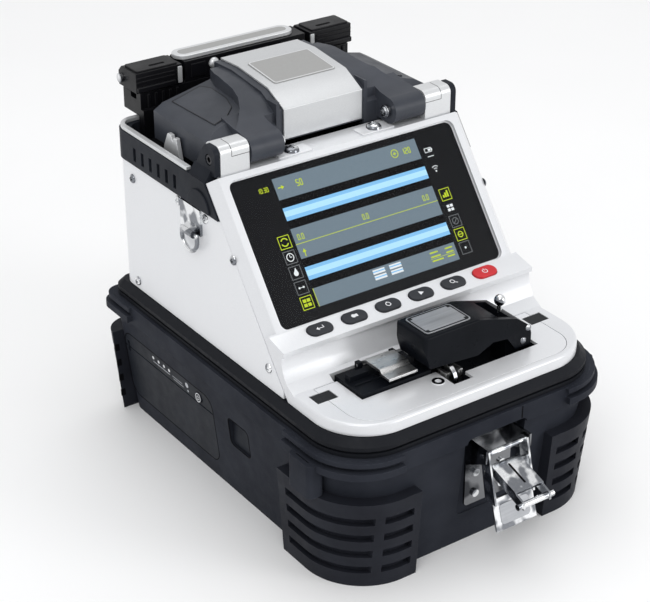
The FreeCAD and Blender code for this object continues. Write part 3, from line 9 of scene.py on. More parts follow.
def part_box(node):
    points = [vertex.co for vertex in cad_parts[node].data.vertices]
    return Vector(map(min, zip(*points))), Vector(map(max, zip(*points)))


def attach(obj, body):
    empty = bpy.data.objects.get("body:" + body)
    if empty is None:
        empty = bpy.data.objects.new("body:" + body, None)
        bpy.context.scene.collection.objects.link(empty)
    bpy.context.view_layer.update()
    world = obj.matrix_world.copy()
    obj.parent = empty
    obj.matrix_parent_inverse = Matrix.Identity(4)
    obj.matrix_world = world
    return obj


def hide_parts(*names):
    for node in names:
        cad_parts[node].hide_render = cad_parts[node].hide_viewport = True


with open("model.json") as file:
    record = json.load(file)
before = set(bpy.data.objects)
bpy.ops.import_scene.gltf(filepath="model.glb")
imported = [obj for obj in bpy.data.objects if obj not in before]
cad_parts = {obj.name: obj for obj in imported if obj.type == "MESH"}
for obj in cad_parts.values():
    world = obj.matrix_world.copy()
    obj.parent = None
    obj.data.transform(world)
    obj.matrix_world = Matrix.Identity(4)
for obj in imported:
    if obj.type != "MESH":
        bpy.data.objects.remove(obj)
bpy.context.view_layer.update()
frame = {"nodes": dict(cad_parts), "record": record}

MM = 0.001
NODES = frame["nodes"]
BODY_OF = {node: body for body, nodes in frame["record"]["behaviour"]["bodies"].items() for node in nodes}
SLOT_OF = {part["node"]: part["material_slot"] for part in frame["record"]["subparts"]}


# ------------------------------------------------------------------ materials

class Graph:
    """Small helper that adds shader nodes and links them."""

    def __init__(self, name):
        self.material = bpy.data.materials.new(name)
        self.material.use_nodes = True
        self.tree = self.material.node_tree
        self.shader = self.tree.nodes["Principled BSDF"]
        self.place = self.add("ShaderNodeTexCoord").outputs["Object"]

    def add(self, kind, **values):
        node = self.tree.nodes.new(kind)
        for key, value in values.items():
            if key in node.inputs:
                node.inputs[key].default_value = value
            else:
                setattr(node, key, value)
        return node

    def link(self, out, into):
        self.tree.links.new(out, into)

    def noise(self, scale, detail=4.0, stretch=None, roughness=0.5):
        """A noise texture in metres of the object; stretch squeezes it along an axis."""
        node = self.add("ShaderNodeTexNoise", Scale=scale, Detail=detail, Roughness=roughness)
        source = self.place
        if stretch is not None:
            mapping = self.add("ShaderNodeMapping")
            mapping.inputs["Scale"].default_value = stretch
            self.link(source, mapping.inputs["Vector"])
            source = mapping.outputs["Vector"]
        self.link(source, node.inputs["Vector"])
        return node.outputs["Fac"]

    def cells(self, scale):
        node = self.add("ShaderNodeTexVoronoi", Scale=scale)
        self.link(self.place, node.inputs["Vector"])
        return node.outputs["Distance"]

    def span(self, value, low, high, new_low, new_high):
        """Map a range of one value to another range."""
        node = self.add("ShaderNodeMapRange")
        self.link(value, node.inputs["Value"])
        node.inputs["From Min"].default_value = low
        node.inputs["From Max"].default_value = high
        node.inputs["To Min"].default_value = new_low
        node.inputs["To Max"].default_value = new_high
        return node.outputs["Result"]

    def math(self, operation, first, second):
        node = self.add("ShaderNodeMath", operation=operation)
        for value, socket in ((first, node.inputs[0]), (second, node.inputs[1])):
            if isinstance(value, (int, float)):
                socket.default_value = value
            else:
                self.link(value, socket)
        return node.outputs["Value"]

    def blend(self, amount, first, second):
        """Mix two colours, each a colour or an output."""
        node = self.add("ShaderNodeMix", data_type="RGBA")
        self.link(amount, node.inputs["Factor"])
        for value, index in ((first, 6), (second, 7)):
            if isinstance(value, tuple):
                node.inputs[index].default_value = (*value, 1.0)
            else:
                self.link(value, node.inputs[index])
        return node.outputs[2]

    def edges(self, radius=0.0006):
        """About 1 on sharp edges and 0 on flat faces."""
        bevel = self.add("ShaderNodeBevel", samples=4, Radius=radius)
        geometry = self.add("ShaderNodeNewGeometry")
        dot = self.add("ShaderNodeVectorMath", operation="DOT_PRODUCT")
        self.link(bevel.outputs["Normal"], dot.inputs[0])
        self.link(geometry.outputs["Normal"], dot.inputs[1])
        return self.span(dot.outputs["Value"], 1.0, 0.90, 0.0, 1.0)

    def bump(self, height, distance, strength=1.0, below=None):
        node = self.add("ShaderNodeBump", Distance=distance, Strength=strength)
        self.link(height, node.inputs["Height"])
        if below is not None:
            self.link(below, node.inputs["Normal"])
        return node.outputs["Normal"]

    def finish(self, colour=None, roughness=None, normal=None, **values):
        sockets = self.shader.inputs
        if colour is not None:
            self.link(colour, sockets["Base Color"])
        if roughness is not None:
            self.link(roughness, sockets["Roughness"])
        if normal is not None:
            self.link(normal, sockets["Normal"])
        for key, value in values.items():
            sockets[key.replace("_", " ")].default_value = value
        return self.material


def moulded_plastic(name, dark, light, rough_low, rough_high, grain=2600.0, depth=0.00004, edge_sheen_and_wear=0.3,
                    shine=0.28):
    """Grained plastic with faint mottling, dust in the grain and lighter edges that are a painted edge
    highlight mixed with rubbed wear.
    """
    g = Graph(name)
    broad = g.noise(38.0, 5.0)
    mottled = g.blend(g.span(broad, 0.35, 0.7, 0.0, 1.0), dark, light)
    # Painted edge highlight, partly rubbed wear: sharp edges are lightened wherever the noise lets it
    # through.
    highlight_and_wear_tone = tuple(min(1.0, c * 2.2 + 0.02) for c in light)
    edge_highlight_and_wear = g.math("MULTIPLY", g.edges(), g.span(g.noise(420.0, 3.0), 0.42, 0.66, 0.0, edge_sheen_and_wear))
    colour = g.blend(edge_highlight_and_wear, mottled, highlight_and_wear_tone)
    rough = g.span(g.noise(160.0, 6.0), 0.3, 0.7, rough_low, rough_high)
    pits = g.bump(g.cells(grain), depth, 0.55)
    normal = g.bump(g.noise(900.0, 2.0), depth * 1.2, 0.3, pits)
    return g.finish(colour, rough, normal, Specular_IOR_Level=shine)


def painted_shell(name, dark, light, metallic=0.12):
    """Fine metallic paint: flake sparkle, very light orange peel, small handling marks."""
    g = Graph(name)
    flake = g.cells(5200.0)
    tone = g.blend(g.span(flake, 0.05, 0.6, 0.0, 1.0), light, dark)
    soft = g.blend(g.span(g.noise(14.0, 3.0), 0.3, 0.7, 0.0, 0.12), tone, dark)
    smudge = g.span(g.noise(60.0, 7.0, roughness=0.65), 0.45, 0.75, 0.30, 0.40)
    peel = g.bump(g.noise(520.0, 2.0), 0.00002, 0.35)
    normal = g.bump(flake, 0.000008, 0.3, peel)
    return g.finish(soft, smudge, normal, Metallic=metallic, Coat_Weight=0.25, Coat_Roughness=0.18)


def brushed_metal(name, dark, light, stretch, rough_low=0.2, rough_high=0.38, depth=0.00001):
    """Rolled metal with fine lines along one axis, and soft stains."""
    g = Graph(name)
    lines = g.noise(900.0, 6.0, stretch)
    tone = g.blend(g.span(lines, 0.3, 0.7, 0.0, 1.0), dark, light)
    stain = g.span(g.noise(90.0, 5.0), 0.5, 0.75, 0.0, 0.25)
    colour = g.blend(stain, tone, tuple(c * 0.7 for c in dark))
    rough = g.span(lines, 0.25, 0.75, rough_low, rough_high)
    normal = g.bump(lines, depth, 0.6)
    return g.finish(colour, rough, normal, Metallic=1.0)


def polished_metal(name, dark, light, reflection_patch_scale=170.0):
    """Bright plating: dark and light patches with soft borders that are painted reflections, fine hairlines
    and a few stains.
    """
    g = Graph(name)
    # Painted reflections: large dark and light patches stand in for the surroundings that polished metal
    # would mirror.
    painted_reflection_mask = g.span(g.noise(reflection_patch_scale, 1.5, roughness=0.3), 0.44, 0.56, 0.0, 1.0)
    tone = g.blend(painted_reflection_mask, dark, light)
    stain = g.span(g.noise(900.0, 5.0), 0.55, 0.8, 0.0, 0.3)
    colour = g.blend(stain, tone, tuple(c * 0.5 for c in light))
    hairlines = g.noise(2600.0, 4.0, (0.1, 1.0, 1.0))
    rough = g.span(hairlines, 0.3, 0.7, 0.12, 0.24)
    return g.finish(colour, rough, g.bump(hairlines, 0.000004, 0.4), Metallic=1.0)


def soft_rubber(name):
    """Satin rubber with a fine matte skin and a little dust."""
    g = Graph(name)
    dust = g.span(g.noise(70.0, 8.0, roughness=0.7), 0.55, 0.8, 0.0, 0.35)
    colour = g.blend(dust, (0.009, 0.010, 0.013), (0.022, 0.024, 0.029))
    rough = g.span(g.noise(300.0, 4.0), 0.3, 0.7, 0.42, 0.6)
    return g.finish(colour, rough, g.bump(g.noise(2400.0, 3.0), 0.00003, 0.4), Specular_IOR_Level=0.12)


def printed(name, colour, roughness=0.45, shine=0.35):
    """Ink or film: a tone with faint press speckle."""
    g = Graph(name)
    speck = g.span(g.noise(2200.0, 3.0), 0.45, 0.7, 0.0, 0.25)
    tone = g.blend(speck, colour, tuple(c * 0.8 for c in colour))
    rough = g.span(g.noise(600.0, 2.0), 0.3, 0.7, roughness - 0.05, roughness + 0.08)
    return g.finish(tone, rough, g.bump(g.noise(1800.0, 2.0), 0.00001, 0.3),
                    Specular_IOR_Level=shine)


def lit(name, colour, strength, mottle=0.06):
    """A glowing patch of the display; a faint pixel grid breaks up its tone."""
    g = Graph(name)
    grid = g.add("ShaderNodeTexChecker", Scale=4200.0)
    g.link(g.place, grid.inputs["Vector"])
    tone = g.blend(g.span(grid.outputs["Fac"], 0.0, 1.0, 0.0, mottle), colour,
                   tuple(c * 0.6 for c in colour))
    g.link(tone, g.shader.inputs["Emission Color"])
    rough = g.span(g.noise(500.0, 2.0), 0.3, 0.7, 0.25, 0.35)
    dark = tuple(c * 0.25 for c in colour)
    base = g.blend(g.span(g.noise(300.0, 2.0), 0.3, 0.7, 0.0, 0.3), dark, tuple(c * 0.2 for c in colour))
    return g.finish(base, rough, None, Emission_Strength=strength, Specular_IOR_Level=0.1)


def cover_glass(name):
    """Clear cover glass with faint smears."""
    g = Graph(name)
    smear = g.noise(30.0, 4.0, (1.0, 3.0, 1.0), 0.5)
    colour = g.blend(g.span(smear, 0.4, 0.8, 0.0, 1.0), (0.004, 0.005, 0.006), (0.012, 0.013, 0.015))
    rough = g.span(smear, 0.4, 0.8, 0.04, 0.09)
    return g.finish(colour, rough, None, Alpha=0.05, IOR=1.5, Specular_IOR_Level=0.35)


def circuit_board(name):
    g = Graph(name)
    tracks = g.add("ShaderNodeTexBrick", Scale=160.0)
    g.link(g.place, tracks.inputs["Vector"])
    colour = g.blend(g.span(tracks.outputs["Fac"], 0.0, 1.0, 0.0, 1.0), (0.01, 0.10, 0.04),
                     (0.02, 0.22, 0.09))
    return g.finish(colour, g.span(g.noise(400.0, 3.0), 0.3, 0.7, 0.3, 0.5),
                    g.bump(tracks.outputs["Fac"], 0.00005, 0.5))


MATERIALS = {
    "black": moulded_plastic("moulded black", (0.013, 0.015, 0.020), (0.021, 0.024, 0.031), 0.38, 0.50,
                             shine=0.08),
    "cover_black": moulded_plastic("cover black", (0.036, 0.040, 0.050), (0.052, 0.057, 0.070), 0.32, 0.44,
                                   shine=0.25),
    "deep_black": moulded_plastic("heater black", (0.004, 0.004, 0.005), (0.007, 0.007, 0.009), 0.30, 0.42,
                                  shine=0.2),
    "tub": moulded_plastic("tub black", (0.019, 0.021, 0.028), (0.029, 0.032, 0.041), 0.40, 0.54,
                           shine=0.03),
    "bumper": moulded_plastic("bumper rubber", (0.013, 0.014, 0.019), (0.020, 0.022, 0.029), 0.42, 0.56,
                              2000.0,
                              shine=0.08),
    "gloss": moulded_plastic("gloss black", (0.004, 0.005, 0.007), (0.007, 0.008, 0.011), 0.26, 0.36,
                             3200.0,
                             0.00002, shine=0.06),
    "key": moulded_plastic("key rubber", (0.018, 0.020, 0.025), (0.028, 0.030, 0.036), 0.36, 0.48),
    "rubber": soft_rubber("rim rubber"),
    "shell": painted_shell("pearl shell", (0.76, 0.77, 0.79), (0.87, 0.88, 0.90)),
    "silver": painted_shell("silver parts", (0.64, 0.65, 0.66), (0.80, 0.81, 0.82), 0.45),
    "frame": painted_shell("frame silver", (0.70, 0.71, 0.73), (0.81, 0.82, 0.84), 0.22),
    "cover_plate": painted_shell("cover plate silver", (0.54, 0.55, 0.56), (0.69, 0.70, 0.71), 0.45),
    "deck": painted_shell("deck silver", (0.74, 0.75, 0.77), (0.88, 0.89, 0.91), 0.3),
    "steel": brushed_metal("brushed steel", (0.52, 0.52, 0.515), (0.60, 0.60, 0.595), (0.2, 1.0, 1.0),
                           0.24, 0.36),
    # Grey steel and polished steel get painted reflection patches from polished_metal.
    "grey_steel": polished_metal("grey steel", (0.05, 0.052, 0.058), (0.22, 0.225, 0.235), 90.0),
    "chrome": polished_metal("polished steel", (0.22, 0.23, 0.25), (0.86, 0.87, 0.88)),
    "red": moulded_plastic("red key", (0.50, 0.015, 0.02), (0.62, 0.03, 0.04), 0.28, 0.4),
    "white_ink": printed("white ink", (0.75, 0.76, 0.78)),
    "label": brushed_metal("label foil", (0.36, 0.37, 0.39), (0.46, 0.47, 0.49), (0.05, 1.0, 1.0), 0.35,
                           0.5),
    "label_grey": printed("label grey", (0.33, 0.33, 0.325), 0.5),
    "dark_film": printed("dark film", (0.008, 0.009, 0.011), 0.4, 0.2),
    "groove": printed("groove shadow", (0.003, 0.003, 0.004), 0.7, 0.05),
    "board": circuit_board("circuit board"),
    "glass": cover_glass("cover glass"),
    "dark_steel": brushed_metal("blackened steel", (0.03, 0.03, 0.035), (0.06, 0.06, 0.065),
                                (1.0, 1.0, 1.0)),
    "pale_ink": printed("pale ink", (0.45, 0.47, 0.50)),
    "screen_black": printed("screen border", (0.003, 0.0035, 0.005), 0.35, 0.15),
    "ui_grey": lit("picture grey", (0.155, 0.205, 0.245), 1.0),
    "ui_black": lit("picture black", (0.004, 0.004, 0.005), 0.6),
    "ui_blue": lit("picture blue", (0.22, 0.50, 0.80), 1.0),
    "ui_pale_blue": lit("picture pale blue", (0.42, 0.72, 0.95), 1.0),
    "ui_yellow": lit("picture yellow", (0.50, 0.62, 0.03), 1.0),
    "ui_white": lit("picture white", (0.80, 0.84, 0.86), 0.9),
    "ui_dim": lit("picture dim", (0.16, 0.17, 0.18), 0.9),
}

NODE_LOOK = {
    "base_tub": "tub", "corner_bumpers": "bumper", "rim_seal": "rubber",
    "side_panel_left": "shell", "side_panel_right": "shell", "rear_panel": "shell",
    "front_cover": "frame", "deck_plate": "deck", "hinge_knuckles": "silver",
    "surround_trim": "silver", "fiber_guides": "silver", "wind_cover_plate": "cover_plate",
    "heater_bar": "silver", "battery_check_key": "black", "fiber_clamp_left": "silver",
    "fiber_clamp_right": "silver",
    "holder_lid": "steel", "panel_screws": "chrome", "hinge_pins": "chrome",
    "heater_hinge_pin": "chrome", "arm_pivot_pin": "chrome", "cleaver_knob": "chrome",
    "latch_plate": "grey_steel", "latch_rivets": "chrome", "latch_lever": "chrome",
    "latch_claw": "chrome", "strap_brackets": "chrome", "strap_ring_left": "chrome",
    "strap_ring_right": "chrome", "ledge_studs": "silver", "key_enter": "key", "key_menu": "key",
    "key_stop": "key", "key_run": "key", "key_zoom": "key", "heater_housing": "deep_black",
    "heater_clamp_left": "deep_black", "heater_clamp_right": "deep_black", "heater_lid": "deep_black",
    "splice_stage": "deep_black", "cleaver_base": "gloss", "blade_wheel": "chrome",
    "electrodes": "chrome", "fiber_stage_left": "steel", "fiber_stage_right": "steel",
    "blade_carriage": "steel", "key_power": "red",
    "cover_label": "label_grey", "cleaver_label": "label", "main_board": "board",
    "screen_glass": "glass", "cleaver_arm": "gloss", "wind_cover": "cover_black",
    "lcd_module": "dark_film", "deck_windows": "dark_film",
}


# ------------------------------------------------------------------ mesh helpers

def add_object(name, mesh, body, look, slot=None):
    """Put a finished mesh in the scene, riding on a body."""
    obj = bpy.data.objects.new(name, mesh)
    bpy.context.scene.collection.objects.link(obj)
    mesh.materials.clear()
    mesh.materials.append(MATERIALS[look])
    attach(obj, body)
    return obj


def shade(mesh, angle=32.0):
    """Smooth faces, with edges above the angle kept sharp."""
    work = bmesh.new()
    work.from_mesh(mesh)
    limit = math.radians(angle)
    for face in work.faces:
        face.smooth = True
    for edge in work.edges:
        edge.smooth = len(edge.link_faces) == 2 and edge.calc_face_angle(0.0) < limit
    work.to_mesh(mesh)
    work.free()


def softened(node, look, width, segments=3, angle=28.0):
    """A copy of a CAD node with rounded edges, in place of the node."""
    source = NODES[node]
    work = bmesh.new()
    work.from_mesh(source.data)
    bmesh.ops.remove_doubles(work, verts=work.verts, dist=1e-6)
    bmesh.ops.dissolve_limit(work, angle_limit=math.radians(0.6), verts=work.verts, edges=work.edges)
    mesh = bpy.data.meshes.new(node + "_soft")
    work.to_mesh(mesh)
    work.free()
    obj = add_object(node + "_shell", mesh, BODY_OF[node], look, SLOT_OF[node])
    obj.matrix_world = source.matrix_world.copy()
    bevel = obj.modifiers.new("soft edges", "BEVEL")
    bevel.width = width
    bevel.segments = segments
    bevel.limit_method = "ANGLE"
    bevel.angle_limit = math.radians(angle)
    bevel.harden_normals = True
    bevel.use_clamp_overlap = True
    shade(mesh, 40.0)
    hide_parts(node)
    return obj


def dress_node(node, look):
    """Give a CAD node its material."""
    obj = NODES[node]
    obj.data.materials.clear()
    obj.data.materials.append(MATERIALS[look])


for node in NODES:
    dress_node(node, NODE_LOOK.get(node, "black"))

SOFT_EDGES = {
    "base_tub": 0.8, "corner_bumpers": 1.1, "battery_pack": 0.5, "battery_release_button": 0.6,
    "front_cover": 1.2, "side_panel_left": 0.25, "side_panel_right": 0.25, "rear_panel": 0.25,
    "top_surround": 0.8, "surround_trim": 0.35, "hinge_knuckles": 0.5, "wind_cover": 1.6,
    "wind_cover_plate": 0.3, "cover_label": 0.12, "heater_housing": 0.6, "heater_clamp_left": 1.0,
    "heater_clamp_right": 1.0, "heater_lid": 0.6, "heater_bar": 0.5, "fiber_guides": 0.35,
    "splice_stage": 0.4, "fiber_stage_left": 0.3, "fiber_stage_right": 0.3, "fiber_clamp_left": 0.3,
    "fiber_clamp_right": 0.3, "cleaver_base": 0.35, "cleaver_arm": 0.7, "cleaver_label": 0.12,
    "blade_carriage": 0.25, "holder_lid": 0.3, "latch_plate": 0.25, "latch_lever": 0.25,
    "latch_claw": 0.25, "strap_brackets": 0.3, "deck_plate": 0.2,
    "blade_wheel": 0.15, "power_inlet": 0.2, "hinge_pins": 0.3, "key_enter": 0.35, "key_menu": 0.35,
    "key_stop": 0.35, "key_run": 0.35, "key_zoom": 0.35, "key_power": 0.35,
}
for node, width in SOFT_EDGES.items():
    softened(node, NODE_LOOK.get(node, "black"), width * MM)


# ------------------------------------------------------------------ flat shapes for prints and pictograms

def rectangle(left, right, low, high):
    return [(left, low), (right, low), (right, high), (left, high)]


def polygon(x, y, radius, sides, turn=0.0):
    return [(x + radius * math.cos(turn + 2 * math.pi * i / sides),
             y + radius * math.sin(turn + 2 * math.pi * i / sides)) for i in range(sides)]


def stroke(start, end, width):
    """A straight line drawn with a pen of the given width."""
    along = Vector(end) - Vector(start)
    side = Vector((-along.y, along.x)).normalized() * width / 2
    a, b = Vector(start), Vector(end)
    return [tuple(p) for p in (a - side, b - side, b + side, a + side)]


def arc(x, y, radius, width, start=0.0, sweep=360.0, steps=28):
    """A ring, or part of one, as short strokes."""
    shapes = []
    for i in range(steps):
        low = math.radians(start + sweep * i / steps)
        high = math.radians(start + sweep * (i + 1) / steps)
        inner, outer = radius - width / 2, radius + width / 2
        shapes.append([(x + r * math.cos(t), y + r * math.sin(t))
                       for r, t in ((inner, low), (outer, low), (outer, high), (inner, high))])
    return shapes


def frame_lines(left, right, low, high, width):
    """The border of a rectangle."""
    return [rectangle(left, right, low, low + width), rectangle(left, right, high - width, high),
            rectangle(left, left + width, low + width, high - width),
            rectangle(right - width, right, low + width, high - width)]


def round_rectangle(left, right, low, high, radius, steps=5):
    points = []
    for x, y, turn in ((right - radius, low + radius, -90), (right - radius, high - radius, 0),
                       (left + radius, high - radius, 90), (left + radius, low + radius, 180)):
        for i in range(steps + 1):
            t = math.radians(turn + 90 * i / steps)
            points.append((x + radius * math.cos(t), y + radius * math.sin(t)))
    return points


SEGMENTS = {"0": "abcdef", "1": "bc", "2": "abged", "3": "abgcd", "5": "afgcd", "7": "abc", "8": "abcdefg"}
SEGMENT_LINES = {"a": ((0, 2), (1, 2)), "b": ((1, 1), (1, 2)), "c": ((1, 0), (1, 1)),
                 "d": ((0, 0), (1, 0)), "e": ((0, 0), (0, 1)), "f": ((0, 1), (0, 2)),
                 "g": ((0, 1), (1, 1))}


def digits(text, x, y, height, pen):
    """Numbers drawn with straight segments."""
    shapes, step = [], height * 0.5
    for mark in text:
        if mark in ".:":
            shapes.append(rectangle(x - pen, x, y, y + pen))
            if mark == ":":
                shapes.append(rectangle(x - pen, x, y + height * 0.6, y + height * 0.6 + pen))
            x += step * 0.45
            continue
        for segment in SEGMENTS[mark]:
            (ax, ay), (bx, by) = SEGMENT_LINES[segment]
            shapes.append(stroke((x + ax * step * 0.8, y + ay * height / 2),
                                 (x + bx * step * 0.8, y + by * height / 2), pen))
        x += step * 1.35
    return shapes


def plates(name, shapes, place, low, high, look, body, slot):
    """Thin solid plates: each flat shape, in millimetres, raised between two heights."""
    work = bmesh.new()
    for shape in shapes:
        tops = [work.verts.new(place(u, v, high) * MM) for u, v in shape]
        feet = [work.verts.new(place(u, v, low) * MM) for u, v in shape]
        work.faces.new(tops)
        work.faces.new(list(reversed(feet)))
        for i in range(len(shape)):
            j = (i + 1) % len(shape)
            work.faces.new((feet[i], feet[j], tops[j], tops[i]))
    bmesh.ops.recalc_face_normals(work, faces=work.faces)
    mesh = bpy.data.meshes.new(name)
    work.to_mesh(mesh)
    work.free()
    return add_object(name, mesh, body, look, slot)


def ring(outer, inner):
    """The band between two outlines with the same number of corners."""
    count = len(outer)
    return [[outer[i], outer[(i + 1) % count], inner[(i + 1) % count], inner[i]] for i in range(count)]


def chips(name, shapes, place, low, high, look, body, slot, round_width=0.25):
    """Raised plates with softened edges."""
    obj = plates(name, shapes, place, low, high, look, body, slot)
    bevel = obj.modifiers.new("soft edges", "BEVEL")
    bevel.width = round_width * MM
    bevel.segments = 3
    bevel.limit_method = "ANGLE"
    bevel.harden_normals = True
    shade(obj.data, 40.0)
    return obj


def on_top(level):
    return lambda x, y, out: Vector((x, y, level + out))


def on_side(x, way):
    """A plane across X; out runs along the way, -1 for the left side."""
    return lambda y, z, out: Vector((x + way * out, y, z))


def on_front(y):
    return lambda x, z, out: Vector((x, y - out, z))


def on_rear(y):
    return lambda x, z, out: Vector((x, y + out, z))


def ribbon(name, path, across, low, high, look, body, slot):
    """A thin strip that follows a path of points and outward normals."""
    work = bmesh.new()
    rows = []
    for point, normal in path:
        centre, out = Vector(point), Vector(normal)
        rows.append([work.verts.new((centre + side * Vector(across) + out * lift) * MM)
                     for side, lift in ((-1, low), (1, low), (1, high), (-1, high))])
    for first, second in zip(rows, rows[1:]):
        for i in range(4):
            j = (i + 1) % 4
            work.faces.new((first[i], first[j], second[j], second[i]))
    work.faces.new(rows[0])
    work.faces.new(list(reversed(rows[-1])))
    bmesh.ops.recalc_face_normals(work, faces=work.faces)
    mesh = bpy.data.meshes.new(name)
    work.to_mesh(mesh)
    work.free()
    shade(mesh, 40.0)
    return add_object(name, mesh, body, look, slot)


def islands(node):
    """Centre of each loose part of a CAD node, in millimetres."""
    work = bmesh.new()
    work.from_mesh(NODES[node].data)
    bmesh.ops.remove_doubles(work, verts=work.verts, dist=1e-6)
    centres, seen = [], set()
    matrix = NODES[node].matrix_world
    for start in work.verts:
        if start in seen:
            continue
        stack, part = [start], []
        seen.add(start)
        while stack:
            vert = stack.pop()
            part.append(matrix @ vert.co)
            for edge in vert.link_edges:
                other = edge.other_vert(vert)
                if other not in seen:
                    seen.add(other)
                    stack.append(other)
        low = Vector([min(p[k] for p in part) for k in range(3)])
        high = Vector([max(p[k] for p in part) for k in range(3)])
        centres.append((low + high) / (2 * MM))
    work.free()
    return sorted(centres, key=lambda c: (round(c.x), round(c.y), round(c.z)))


def relief(work, matrix, radius, profile, rings=18, spokes=48):
    """A round relief: profile(r, angle) gives the height over a disc, in millimetres."""
    rows = [[work.verts.new(matrix @ Vector((0, 0, profile(0.0, 0.0))) * MM)]]
    for i in range(1, rings + 1):
        r = radius * i / rings
        row = []
        for k in range(spokes):
            t = 2 * math.pi * k / spokes
            row.append(work.verts.new(matrix @ Vector((r * math.cos(t), r * math.sin(t),
                                                       profile(r, t))) * MM))
        rows.append(row)
    for k in range(spokes):
        work.faces.new((rows[0][0], rows[1][k], rows[1][(k + 1) % spokes]))
    for i in range(1, rings):
        for k in range(spokes):
            j = (k + 1) % spokes
            work.faces.new((rows[i][k], rows[i + 1][k], rows[i + 1][j], rows[i][j]))


def cross_head(radius, height):
    """Pan head with a cross recess."""
    def profile(r, t):
        dome = height * math.sqrt(max(0.0, 1 - (r / radius) ** 2)) ** 0.8
        u, v = abs(r * math.cos(t)), abs(r * math.sin(t))
        arm = radius * 0.13
        inside = min(u, v) < arm and max(u, v) < radius * 0.55
        return dome - (height * 0.62 if inside else 0.0)
    return profile


def socket_head(radius, height):
    """Cap head with a hexagon recess."""
    def profile(r, t):
        flat = height if r < radius * 0.86 else height * math.sqrt(
            max(0.0, 1 - ((r / radius - 0.86) / 0.14) ** 2))
        sector = (t % (math.pi / 3)) - math.pi / 6
        inside = r * math.cos(sector) < radius * 0.46
        return flat - (height * 0.9 if inside else 0.0)
    return profile


def facing(centre, outward):
    """Matrix that lays a relief on a surface point, its height along outward."""
    turn = Vector(outward).to_track_quat("Z", "Y").to_matrix().to_4x4()
    return Matrix.Translation(Vector(centre)) @ turn


def heads(name, places, profile, radius, look, body, slot, node=None):
    work = bmesh.new()
    for centre, outward in places:
        relief(work, facing(centre, outward), radius, profile)
    mesh = bpy.data.meshes.new(name)
    work.to_mesh(mesh)
    work.free()
    shade(mesh, 35.0)
    obj = add_object(name, mesh, body, look, slot)
    if node:
        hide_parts(node)
    return obj


# ------------------------------------------------------------------ screen

SCREEN_TILT = math.radians(52.5)
GLASS_LENGTH = 75.0
glass_low, glass_high = (Vector(c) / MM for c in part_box("screen_glass"))
FOOT_Y = glass_low.y
FOOT_Z = glass_high.z - GLASS_LENGTH * math.sin(SCREEN_TILT)
RISE, RUN = math.sin(SCREEN_TILT), math.cos(SCREEN_TILT)


def on_screen(x, up, out):
    """A point on the screen: across, up the slope from the foot of the glass, and out of it."""
    return Vector((x, FOOT_Y + up * RUN - out * RISE, FOOT_Z + up * RISE + out * RUN))


LEFT_ICON = 3.3
RIGHT_ICON = 3.2
PICTURE = {"low": 5.8, "high": 71.1, "inner_left": -43.4, "inner_right": 43.0}
LAYER = -1.095


def screen_layer(name, shapes, step, look):
    """Shapes on the picture; each step lies 0.01 mm above the one before."""
    base = LAYER + 0.012 * step
    return plates(name, shapes, on_screen, base, base + 0.008, look, "splicer_body", "lcd")


def icon_frames(x, rows, half):
    return [shape for row in rows
            for shape in frame_lines(x - half, x + half, row - half, row + half, 0.35)]


